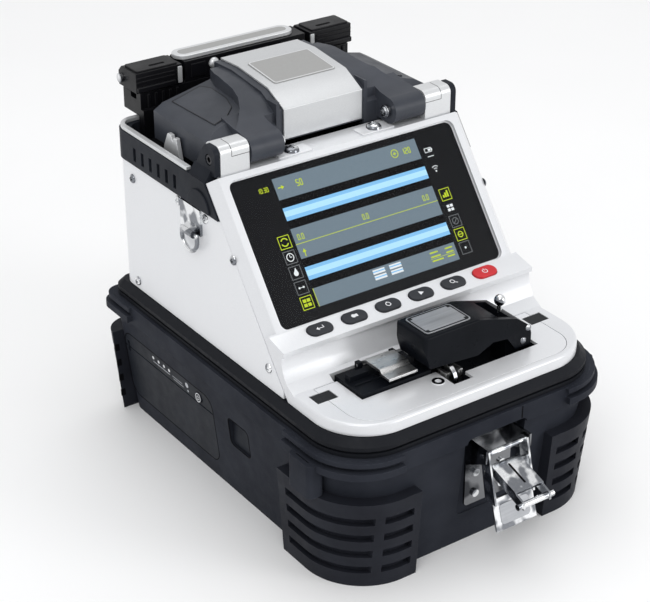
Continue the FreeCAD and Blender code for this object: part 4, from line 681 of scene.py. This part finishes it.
def make_screen():
    p = PICTURE
    left, right = p["inner_left"], p["inner_right"]
    screen_layer("screen_border", [round_rectangle(-67.2, 67.2, 0.2, 74.8, 3.8)], 0, "screen_black")
    screen_layer("screen_picture", [rectangle(left, right, p["low"], p["high"])], 1, "ui_grey")
    bands, fibers, glints = [], [], []
    for low, high in ((45.4, 60.2), (15.0, 30.1)):
        bands.append(rectangle(left, right, low, high))
        middle = (low + high) / 2
        fibers.append(rectangle(left, right, middle - 3.25, middle + 3.25))
        glints.append(rectangle(left, right, middle - 1.3, middle + 1.5))
    screen_layer("screen_bands", bands, 2, "ui_black")
    screen_layer("screen_fibers", fibers, 3, "ui_blue")
    screen_layer("screen_fiber_cores", glints, 4, "ui_pale_blue")
    marks = [rectangle(left, right, 37.3, 37.6)]
    marks += [rectangle(left, left + 0.35, p["low"], 15.0)]
    marks += digits("0.0", -41.0, 39.3, 2.6, 0.35)
    marks += digits("0.0", -2.4, 39.3, 2.6, 0.35)
    marks += digits("0.0", 35.0, 39.3, 2.6, 0.35)
    marks += [stroke((-41.8, 66.1), (-39.6, 66.1), 0.5), [(-39.8, 65.0), (-38.2, 66.1), (-39.8, 67.2)]]
    marks += [stroke((-40.2, 30.8), (-40.2, 33.2), 0.5), [(-41.3, 33.0), (-39.1, 33.0), (-40.2, 34.8)]]
    marks += digits("50", -31.0, 64.6, 3.0, 0.45)
    marks += (arc(28.6, 66.4, 2.0, 0.45)
              + [rectangle(27.6, 29.6, 66.1, 66.6), rectangle(28.4, 28.8, 65.4, 67.4)])
    marks += digits("120", 33.2, 64.8, 2.8, 0.42)
    marks += digits("10:30", -53.0, 65.8, 2.2, 0.32)
    for row in range(3):
        marks.append(rectangle(27.0, 27.0 + 7.0 - row, 8.6 + 2.1 * row, 9.3 + 2.1 * row))
        marks.append(rectangle(36.6, 41.2, 8.6 + 2.1 * row, 9.3 + 2.1 * row))
    marks.append(rectangle(26.4, 41.6, 10.0, 10.2))
    screen_layer("screen_marks", marks, 5, "ui_yellow")
    tags, stripes = [], []
    for x in (-4.6, 5.4):
        for row in (0, 1):
            tags.append(rectangle(x - 3.6, x + 3.6, 9.0 + 2.9 * row, 11.2 + 2.9 * row))
            stripes.append(rectangle(x - 3.6, x + 3.6, 9.9 + 2.9 * row, 10.5 + 2.9 * row))
    screen_layer("screen_sleeves", tags, 5, "ui_white")
    screen_layer("screen_sleeve_stripes", stripes, 6, "ui_blue")
    left_x, right_x = -48.8, 48.8
    left_rows = (9.4, 17.1, 24.8, 32.5, 40.2)
    right_rows = (10.5, 17.7, 24.9, 32.1, 39.3)
    yellow = (icon_frames(left_x, (left_rows[0], left_rows[4]), LEFT_ICON)
              + icon_frames(right_x, (right_rows[1], right_rows[4]), RIGHT_ICON))
    grey = (icon_frames(left_x, left_rows[1:4], LEFT_ICON)
            + icon_frames(right_x, (right_rows[0], right_rows[2]), RIGHT_ICON))
    for dx in (-1.15, 1.15):
        for dy in (-1.1, 1.1):
            yellow.append(rectangle(left_x + dx - 0.95, left_x + dx + 0.95, left_rows[0] + dy - 0.8,
                                    left_rows[0] + dy + 0.8))
    yellow += (arc(left_x, left_rows[4], 1.9, 0.6, 20, 135, 14)
               + arc(left_x, left_rows[4], 1.9, 0.6, 200, 135, 14))
    yellow += [rectangle(right_x - 1.8, right_x - 0.8, 37.8, 39.2),
               rectangle(right_x - 0.5, right_x + 0.5, 37.8, 40.2),
               rectangle(right_x + 0.8, right_x + 1.8, 37.8, 41.2)]
    yellow += arc(right_x, right_rows[1], 1.4, 0.5) + [rectangle(right_x - 1.8, right_x + 1.8, 17.5, 17.9)]
    white = arc(left_x, left_rows[3], 1.9, 0.45) + [stroke((left_x, 32.5), (left_x, 33.9), 0.4),
                                                    stroke((left_x, 32.5), (left_x + 1.1, 32.5), 0.4)]
    white += [polygon(left_x, left_rows[2] - 0.5, 1.3, 14),
              [(left_x - 1.0, 24.9), (left_x + 1.1, 24.9), (left_x + 0.4, 27.2)]]
    white += [polygon(left_x - 1.2, left_rows[1], 0.55, 10), polygon(left_x + 1.2, left_rows[1], 0.55, 10),
              rectangle(left_x - 1.0, left_x + 1.0, 16.95, 17.25)]
    white += (frame_lines(right_x - 2.6, right_x + 1.8, 62.2, 64.6, 0.35)
              + [rectangle(right_x - 0.4, right_x + 1.2, 62.8, 64.0),
                 rectangle(right_x + 1.8, right_x + 2.3, 62.9, 63.9)])
    white += [rectangle(right_x - 1.9, right_x + 1.9, 59.8, 60.2)]
    white += [polygon(right_x, 52.0, 0.5, 12)]
    for radius in (1.5, 2.7):
        white += arc(right_x, 52.0, radius, 0.4, 50, 80, 8)
    for dy in (-1.0, 1.0):
        white += [rectangle(right_x - 1.9, right_x - 0.2, 32.1 + dy - 0.7, 32.1 + dy + 0.7),
                  rectangle(right_x + 0.2, right_x + 1.9, 32.1 + dy - 0.7, 32.1 + dy + 0.7)]
    white += [polygon(right_x, right_rows[0], 0.6, 12)]
    grey += (arc(right_x, right_rows[2], 1.7, 0.4)
             + [stroke((right_x - 1.0, 23.9), (right_x + 1.0, 25.9), 0.4)])
    screen_layer("screen_icons_yellow", yellow, 5, "ui_yellow")
    screen_layer("screen_icons_white", white, 5, "ui_white")
    screen_layer("screen_icons_grey", grey, 5, "ui_dim")


make_screen()

# ------------------------------------------------------------------ keys

KEY_TILT = math.radians(12.0)
KEY_TOP = 2.97
KEY_ICONS = {
    "key_enter": [stroke((2.0, 1.3), (2.0, -0.4), 0.4), stroke((2.2, -0.4), (-1.2, -0.4), 0.4),
                  [(-0.9, 0.8), (-2.3, -0.4), (-0.9, -1.6)]],
    "key_menu": [polygon(-0.6, 0, 1.2, 16), rectangle(0.4, 1.8, -0.9, 0.9)],
    "key_stop": arc(0, 0, 1.25, 0.45) + [rectangle(-0.45, 0.45, 0.9, 1.7)],
    "key_run": [[(-1.1, -1.4), (1.6, 0.0), (-1.1, 1.4)]],
    "key_zoom": arc(-0.5, 0.3, 1.15, 0.42) + [stroke((0.3, -0.5), (1.8, -1.5), 0.5)],
    "key_power": arc(0, -0.1, 1.35, 0.42, 125, 290) + [rectangle(-0.2, 0.2, 0.1, 1.7)],
}


def make_key_icons():
    out = Vector((0, -math.sin(KEY_TILT), math.cos(KEY_TILT)))
    up = Vector((0, math.cos(KEY_TILT), math.sin(KEY_TILT)))
    for key, shapes in KEY_ICONS.items():
        low, high = (Vector(c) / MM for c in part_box(key))
        middle = (low + high) / 2 + out * KEY_TOP

        def place(u, v, h, middle=middle):
            return middle + Vector((1, 0, 0)) * u + up * v + out * h
        plates(key + "_icon", shapes, place, -0.02, 0.05, "white_ink", BODY_OF[key], SLOT_OF[key])


make_key_icons()

# ------------------------------------------------------------------ screws

HALF_PIN = (69.3 - 31.1) / 2


def make_screws():
    places = [(Vector((math.copysign(76.0, c.x), c.y, c.z)), (math.copysign(1.0, c.x), 0, 0))
              for c in islands("panel_screws")]
    heads("panel_screw_heads", places, cross_head(2.5, 1.38), 2.5, "chrome", "splicer_body", "steel",
          "panel_screws")
    pin_low, pin_high = (Vector(c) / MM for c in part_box("hinge_pins"))
    middle_y, middle_z = (pin_low.y + pin_high.y) / 2, (pin_low.z + pin_high.z) / 2
    ears = [(Vector((side * 71.3, middle_y, middle_z)), (side, 0, 0)) for side in (-1, 1)]
    heads("ear_screws", ears, socket_head(2.7, 1.0), 2.7, "dark_steel", "splicer_body", "steel")
    ends = [(Vector((side * (min(abs(c.x) for c in islands("hinge_pins")) - HALF_PIN), middle_y, middle_z)),
             (-side, 0, 0)) for side in (-1, 1)]
    heads("pin_bolts", ends, socket_head(2.6, 0.9), 2.6, "chrome", BODY_OF["hinge_pins"], "steel")
    rear_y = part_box("rear_panel")[1].y / MM
    rear = [(Vector((x, rear_y, z)), (0, 1, 0)) for x in (-54.0, 54.0) for z in (87.0, 146.0)]
    heads("rear_screws", rear, cross_head(2.5, 1.2), 2.5, "chrome", "splicer_body", "steel")


make_screws()

# ------------------------------------------------------------------ battery prints

TUB_FOOT, TUB_DRAFT = 73.0, 7.0 / 62.0


def on_left_wall(y, z, out):
    return Vector((-(TUB_FOOT + TUB_DRAFT * z) - out, y, z))


BUMPER_FOOT, BUMPER_DRAFT = 81.0, 3.5 / 49.0


BUMPER_SLOT_LOW = 8.0
BUMPER_SLOT_HIGH = 12.2
BUMPER_SLOT_PITCH = 9.6
BUMPER_END = 98.6


def make_bumper_slots():
    """Slots that run out at the ends of the rear bumpers."""
    def edge(z):
        return BUMPER_FOOT + BUMPER_DRAFT * z
    for side, word in ((-1, "left"), (1, "right")):
        rows = [(BUMPER_SLOT_LOW + BUMPER_SLOT_PITCH * row, BUMPER_SLOT_HIGH + BUMPER_SLOT_PITCH * row)
                for row in range(4)]
        ends = [[(side * (edge(low) - 3.0), low), (side * (edge(low) - 0.3), low),
                 (side * (edge(high) - 0.3), high), (side * (edge(high) - 3.0), high)] for low,
                 high in rows]
        plates("bumper_end_slots_" + word, ends, on_front(BUMPER_END), -0.3, 0.05, "groove", "splicer_body",
               SLOT_OF["corner_bumpers"])


make_bumper_slots()


def make_battery_prints():
    lights = [polygon(y, 46.9, 0.95, 16) for y in (66.0, 60.4, 55.0, 49.8)]
    plates("battery_lights", lights, on_left_wall, -0.02, 0.06, "white_ink", "battery", "black_plastic")
    lines = [rectangle(49.4, 66.4, 44.3, 44.7)]
    for row, (near, far) in enumerate(((37.0, 47.0), (36.0, 46.0))):
        lines.append(rectangle(near, far, 44.9 - 1.5 * row, 45.2 - 1.5 * row))
    lines += [polygon(32.2, 46.6, 1.5, 18), polygon(31.6, 43.3, 0.7, 12)]
    plates("battery_lines", lines, on_left_wall, -0.02, 0.06, "pale_ink", "battery", "black_plastic")
    gap = ring(round_rectangle(7.55, 97.05, 9.55, 50.45, 7.4),
               round_rectangle(8.15, 96.45, 10.15, 49.85, 6.8))
    gap += ring(round_rectangle(-25.5, -6.5, 31.0, 48.0, 3.2),
                round_rectangle(-24.9, -7.1, 31.6, 47.4, 2.6))
    plates("wall_gaps", gap, on_left_wall, -0.1, 0.03, "groove", "splicer_body", "black_plastic")
    low, high = (Vector(c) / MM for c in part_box("battery_check_key"))
    centre = (low + high) / 2

    def on_key(y, z, out):
        return Vector((low.x - out, centre.y + y, centre.z + z))
    key_mark = arc(0, 0, 2.3, 0.4) + arc(0, -0.1, 1.1, 0.35, 125, 290) + [rectangle(-0.16, 0.16, 0.1, 1.4)]
    plates("battery_key_ring", key_mark, on_key, -0.02, 0.05, "white_ink", "battery_key",
           SLOT_OF["battery_check_key"])


make_battery_prints()

# ------------------------------------------------------------------ wind cover and labels

LABEL_RISE = math.atan2(199.4 - 196.5, 62.0 - 35.0)
LABEL_TOP = 0.5


def on_label(x, up, out):
    """A point on the cover's label: across, up the plate and out of it."""
    level = 196.5 + 1.4 * math.tan(LABEL_RISE)
    return Vector((x, 36.4 + up * math.cos(LABEL_RISE) - out * math.sin(LABEL_RISE),
                   level + up * math.sin(LABEL_RISE) + out * math.cos(LABEL_RISE)))


def make_cover_details():
    def wing_top(x, y, out):
        fall = (abs(x) - 33.5) * (190.5 - 184.7) / (60.8 - 33.5)
        return Vector((x, y, 190.5 - fall + out))
    for side, word in ((-1, "left"), (1, "right")):
        corners = [(57.0, 31.5), (58.0, 70.0), (40.5, 71.5), (37.8, 65.0), (38.6, 50.0), (41.8, 39.5),
                   (48.5, 33.5)]
        shape = [(side * x, y) for x, y in corners]
        chips("cover_panel_" + word, [shape], wing_top, -0.3, 0.45, "cover_black", "wind_cover_body",
              "black_plastic", 0.4)
        inner = [(side * (47.5 + (x - 47.5) * 0.965), 51.0 + (y - 51.0) * 0.965) for x, y in corners]
        plates("cover_panel_line_" + word, ring(shape, inner), wing_top, 0.35, 0.47, "deep_black",
               "wind_cover_body", "black_plastic")
    border = ring(round_rectangle(-18.3, 18.3, 0.2, 25.3, 1.5),
                  round_rectangle(-17.6, 17.6, 0.9, 24.6, 1.2))
    plates("cover_label_border", border, on_label, LABEL_TOP - 0.05, LABEL_TOP + 0.05, "silver",
           "wind_cover_body", "label_grey")


KNUCKLE_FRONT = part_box("hinge_knuckles")[0][1] / MM


def make_surround_details():
    """Moulded arc bosses, seams over the hinge blocks, and the ledge screws with their plates."""
    for side, word in ((-1, "left"), (1, "right")):
        arc_edge = [(15.4 + 10.0 * math.cos(math.radians(t)), 153.2 + 10.0 * math.sin(math.radians(t)))
                    for t in range(0, 181, 9)]
        chips("surround_boss_" + word, [arc_edge], on_side(side * 77.0, side), -0.3, 0.9, "black",
              "splicer_body", "black_plastic", 0.5)
        seam = [((side * 63.0, KNUCKLE_FRONT, 179.8), (0, -1, 0)),
                ((side * 63.0, KNUCKLE_FRONT, 181.5), (0, -1, 0))]
        for t in range(9, 90, 9):
            out = (0, -math.cos(math.radians(t)), math.sin(math.radians(t)))
            seam.append(((side * 63.0, KNUCKLE_FRONT + 4.0 + 4.0 * out[1], 181.5 + 4.0 * out[2]), out))
        seam += [((side * 63.0, KNUCKLE_FRONT + 4.0, 185.5), (0, 0, 1)),
                 ((side * 63.0, 16.4, 185.5), (0, 0, 1))]
        ribbon("knuckle_seam_" + word, seam, (0.13, 0, 0), -0.1, 0.04, "groove", "splicer_body",
               "silver_metal")
        line = rectangle(min(side * 63.1, side * 53.0), max(side * 63.1, side * 53.0), 179.68, 179.94)
        plates("knuckle_line_" + word, [line], on_front(KNUCKLE_FRONT), -0.1, 0.04, "groove",
               "splicer_body", "silver_metal")
    strips = [round_rectangle(x - 10.0, x + 10.0, 8.4, 17.4, 0.8) for x in (-25.0, 25.0)]
    strips_obj = chips("stud_plates", strips, on_top(170.5), 0.0, 0.7, "shell", "splicer_body", "steel",
                       0.2)
    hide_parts("ledge_studs")
    domes = [(Vector((x, 13.0, 171.1)), (0, 0, 1)) for x in (-25.0, 25.0)]
    heads("stud_domes", domes, cross_head(4.1, 2.6), 4.1, "chrome", "splicer_body", "steel")


def make_heater_details():
    near, far, top = 90.0, 108.0, 195.4
    for side, word in ((-1, "left"), (1, "right")):
        body = BODY_OF["heater_clamp_" + word]

        def across(low, high, side=side):
            return min(side * low, side * high), max(side * low, side * high)
        a, b = across(41.4, 65.4)
        chips("clamp_cap_" + word, [round_rectangle(a, b, near + 1.0, far - 4.0, 1.2)], on_top(top), -0.3,
              0.9,
              "deep_black", body, "black_plastic", 0.4)
        a, b = across(47.0, 56.0)
        plates("clamp_slot_" + word, [round_rectangle(a, b, near + 4.0, near + 6.0, 0.8)], on_top(top),
               0.85, 0.94,
               "groove", body, "black_plastic")
        a, b = across(44.0, 66.2)
        wedge = [(a, 185.4), (b, 185.4), (b, 188.2), (a, 188.2)]
        chips("clamp_ledge_" + word, [wedge], on_front(near), -0.3, 1.4, "deep_black", body,
              "black_plastic", 0.5)
        ribs = [rectangle(a, b, z, z + 0.7) for z in (190.2, 192.4)]
        chips("clamp_ribs_" + word, ribs, on_front(near), -0.3, 0.5, "deep_black", body, "black_plastic",
              0.2)
        a, b = across(39.8, 42.2)
        chips("clamp_strip_" + word, [round_rectangle(a, b, 185.6, 194.4, 0.5)], on_front(near), -0.3, 0.7,
              "silver", body, "silver_metal", 0.2)
        a, b = across(40.6, 63.6)
        teeth = [rectangle(x, x + 1.6, 173.0, 183.6) for x in [a + 3.0 + 4.2 * i for i in range(5)]]
        chips("trough_ribs_" + word, teeth, on_front(near), -0.3, 0.8, "deep_black", "splicer_body",
              "black_plastic", 0.3)
    knob = [(Vector((-20.0, 91.0, 191.4)), (0, -1, 0.35))]
    heads("lid_knob", knob, lambda r, t: 2.4 * math.sqrt(max(0.0, 1 - (r / 3.0) ** 2)), 3.0, "silver",
          "heater_lid_body", "silver_metal")
    inset = round_rectangle(-36.4, 29.5, 95.6, 101.9, 3.1, 7)
    plates("bar_inset", [inset], on_top(197.8), -0.1, 0.05, "label_grey", "heater_lid_body", "silver_metal")
    catches = [rectangle(x, x + 9.0, 186.4, 193.6) for x in (-34.0, -12.0, 4.0, 22.0)]
    chips("lid_catches", catches, on_front(91.0), -0.3, 0.7, "deep_black", "heater_lid_body",
          "black_plastic", 0.3)


make_cover_details()
make_surround_details()
make_heater_details()

# ------------------------------------------------------------------ cleaver, latch and rear

def make_cleaver_details():
    level = 111.6
    frame_edge = ring(round_rectangle(-16.2, 9.6, -85.8, -69.2, 1.8),
                      round_rectangle(-15.4, 8.8, -85.0, -70.0, 1.4))
    plates("cleaver_label_border", frame_edge, on_top(level), -0.05, 0.05, "dark_film", "cleaver_arm_body",
           "label_grey")
    ticks = [polygon(x, y, 1.1, 4, math.pi / 4) for x in (-14.6, 8.0) for y in (-84.2, -70.8)]
    plates("cleaver_label_notches", ticks, on_top(level), -0.05, 0.05, "dark_film", "cleaver_arm_body",
           "label_grey")
    pins = [(Vector((x, -89.0, z)), (0, -1, 0)) for x, z in ((44.0, 96.6), (41.0, 90.5))]
    heads("arm_pin_heads", pins, lambda r, t: 0.9 * math.sqrt(max(0.0, 1 - (r / 1.7) ** 2)), 1.7, "chrome",
          "cleaver_arm_body", "steel")
    lines = [stroke((14.0, -86.5), (34.0, -86.5), 0.3), stroke((14.0, -68.5), (34.0, -68.5), 0.3)]

    def on_arm_slope(x, y, out):
        return Vector((x, y, 111.0 - (x - 12.0) * (111.0 - 104.0) / (36.5 - 12.0) + out))
    plates("arm_lines", lines, on_arm_slope, -0.1, 0.04, "groove", "cleaver_arm_body", "black_plastic")


def make_deck_details():
    """Dark ring and bright centre of the port beside the cleaver."""
    x, y, level = -13.0, -91.0, 87.2
    plates("port_rim", ring(polygon(x, y, 3.1, 32), polygon(x, y, 1.6, 32)), on_top(level), -0.05, 0.05,
           "groove",
           "splicer_body", SLOT_OF["deck_plate"])
    plates("port_centre", [polygon(x, y, 1.2, 24)], on_top(level - 1.4), 0.0, 0.5, "white_ink",
           "splicer_body",
           SLOT_OF["deck_plate"])


def on_lean(start, end):
    """A leaning plane across X, from a start to an end place in Y and Z; out faces the front."""
    along = (Vector(end) - Vector(start)).normalized()

    def place(x, down, out):
        return Vector((x, start[0] + down * along.x + out * along.y,
                       start[1] + down * along.y - out * along.x))
    return place


def make_latch_details():
    """Slit of the claw, pressed field of the pull tab and the slit in the tub's rim."""
    x = 7.0
    claw_top = on_lean((-118.5, 50.4), (-137.0, 44.6))
    plates("claw_slit", [round_rectangle(x - 0.6, x + 0.6, 3.0, 16.0, 0.5)], claw_top, -0.1, 0.05, "groove",
           BODY_OF["latch_claw"], SLOT_OF["latch_claw"])
    pull_tab = on_lean((-120.4, 49.0), (-130.0, 19.5))
    chips("pull_tab_field", [round_rectangle(x - 9.0, x + 9.0, 18.0, 28.5, 2.0)], pull_tab, -0.2, 0.35,
          "label",
          BODY_OF["latch_lever"], SLOT_OF["latch_lever"], 0.25)
    plates("rim_slit", [rectangle(21.6, 22.4, 65.0, 71.6)], on_front(-112.5), -0.1, 0.05, "groove",
           "splicer_body",
           "black_plastic")


def make_rear_details():
    """Centre pin and collar of the inlet."""
    inlet_low, inlet_high = (Vector(c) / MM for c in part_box("power_inlet"))
    x, z = (inlet_low.x + inlet_high.x) / 2, (inlet_low.z + inlet_high.z) / 2
    pin = [(Vector((x, inlet_high.y - 6.0, z)), (0, 1, 0))]
    heads("inlet_pin", pin, lambda r, t: 5.0 if r < 0.9 else 0.0, 1.2, "chrome", "splicer_body", "steel")
    collar = ring(polygon(x, z, 4.5, 28), polygon(x, z, 3.1, 28))
    chips("inlet_collar", collar, on_rear(inlet_high.y), -0.1, 0.4, "black", "splicer_body",
          "black_plastic", 0.1)


make_deck_details()
make_cleaver_details()
make_latch_details()
make_rear_details()

# ------------------------------------------------------------------ stage, light and camera

def make_floor():
    size = 6.0
    work = bmesh.new()
    bmesh.ops.create_grid(work, x_segments=2, y_segments=2, size=size)
    mesh = bpy.data.meshes.new("floor")
    work.to_mesh(mesh)
    work.free()
    obj = bpy.data.objects.new("floor", mesh)
    bpy.context.scene.collection.objects.link(obj)
    g = Graph("floor paper")
    tone = g.blend(g.span(g.noise(3.0, 3.0), 0.3, 0.7, 0.0, 1.0), (0.90, 0.90, 0.90), (0.92, 0.92, 0.92))
    rough = g.span(g.noise(20.0, 2.0), 0.3, 0.7, 0.75, 0.9)
    mesh.materials.append(g.finish(tone, rough))


def area_light(name, place, target, size, power):
    data = bpy.data.lights.new(name, "AREA")
    data.shape = "RECTANGLE"
    data.size, data.size_y = size
    data.energy = power
    obj = bpy.data.objects.new(name, data)
    obj.location = place
    aim = Vector(target) - Vector(place)
    obj.rotation_euler = aim.to_track_quat("-Z", "Y").to_euler()
    bpy.context.scene.collection.objects.link(obj)


def make_light():
    world = bpy.data.worlds.new("studio")
    world.use_nodes = True
    world.node_tree.nodes["Background"].inputs["Color"].default_value = (0.985, 0.99, 1.0, 1.0)
    world.node_tree.nodes["Background"].inputs["Strength"].default_value = 0.74
    bpy.context.scene.world = world
    middle = (0.0, 0.0, 0.1)
    area_light("key light", (-0.9, -0.9, 1.5), middle, (0.9, 0.9), 8.0)
    area_light("top light", (0.2, 0.3, 1.6), middle, (1.2, 1.2), 6.0)
    area_light("left light", (-1.5, 0.2, 0.5), middle, (0.7, 0.9), 0.4)
    area_light("front light", (0.9, -1.4, 0.6), middle, (0.6, 0.8), 7.0)


CAMERA_LENS = 97.74


def make_camera():
    data = bpy.data.cameras.new("camera")
    data.sensor_width = 36.0
    data.lens = CAMERA_LENS
    data.clip_start = 0.01
    obj = bpy.data.objects.new("camera", data)
    obj.location = (-0.46768, -0.64285, 0.51690)
    obj.rotation_mode = "QUATERNION"
    obj.rotation_quaternion = Vector((0.5068, 0.7182, -0.4769)).to_track_quat("-Z", "Y")
    bpy.context.scene.collection.objects.link(obj)
    bpy.context.scene.camera = obj
    bpy.context.scene.view_settings.view_transform = "Standard"


make_floor()
make_light()
make_camera()
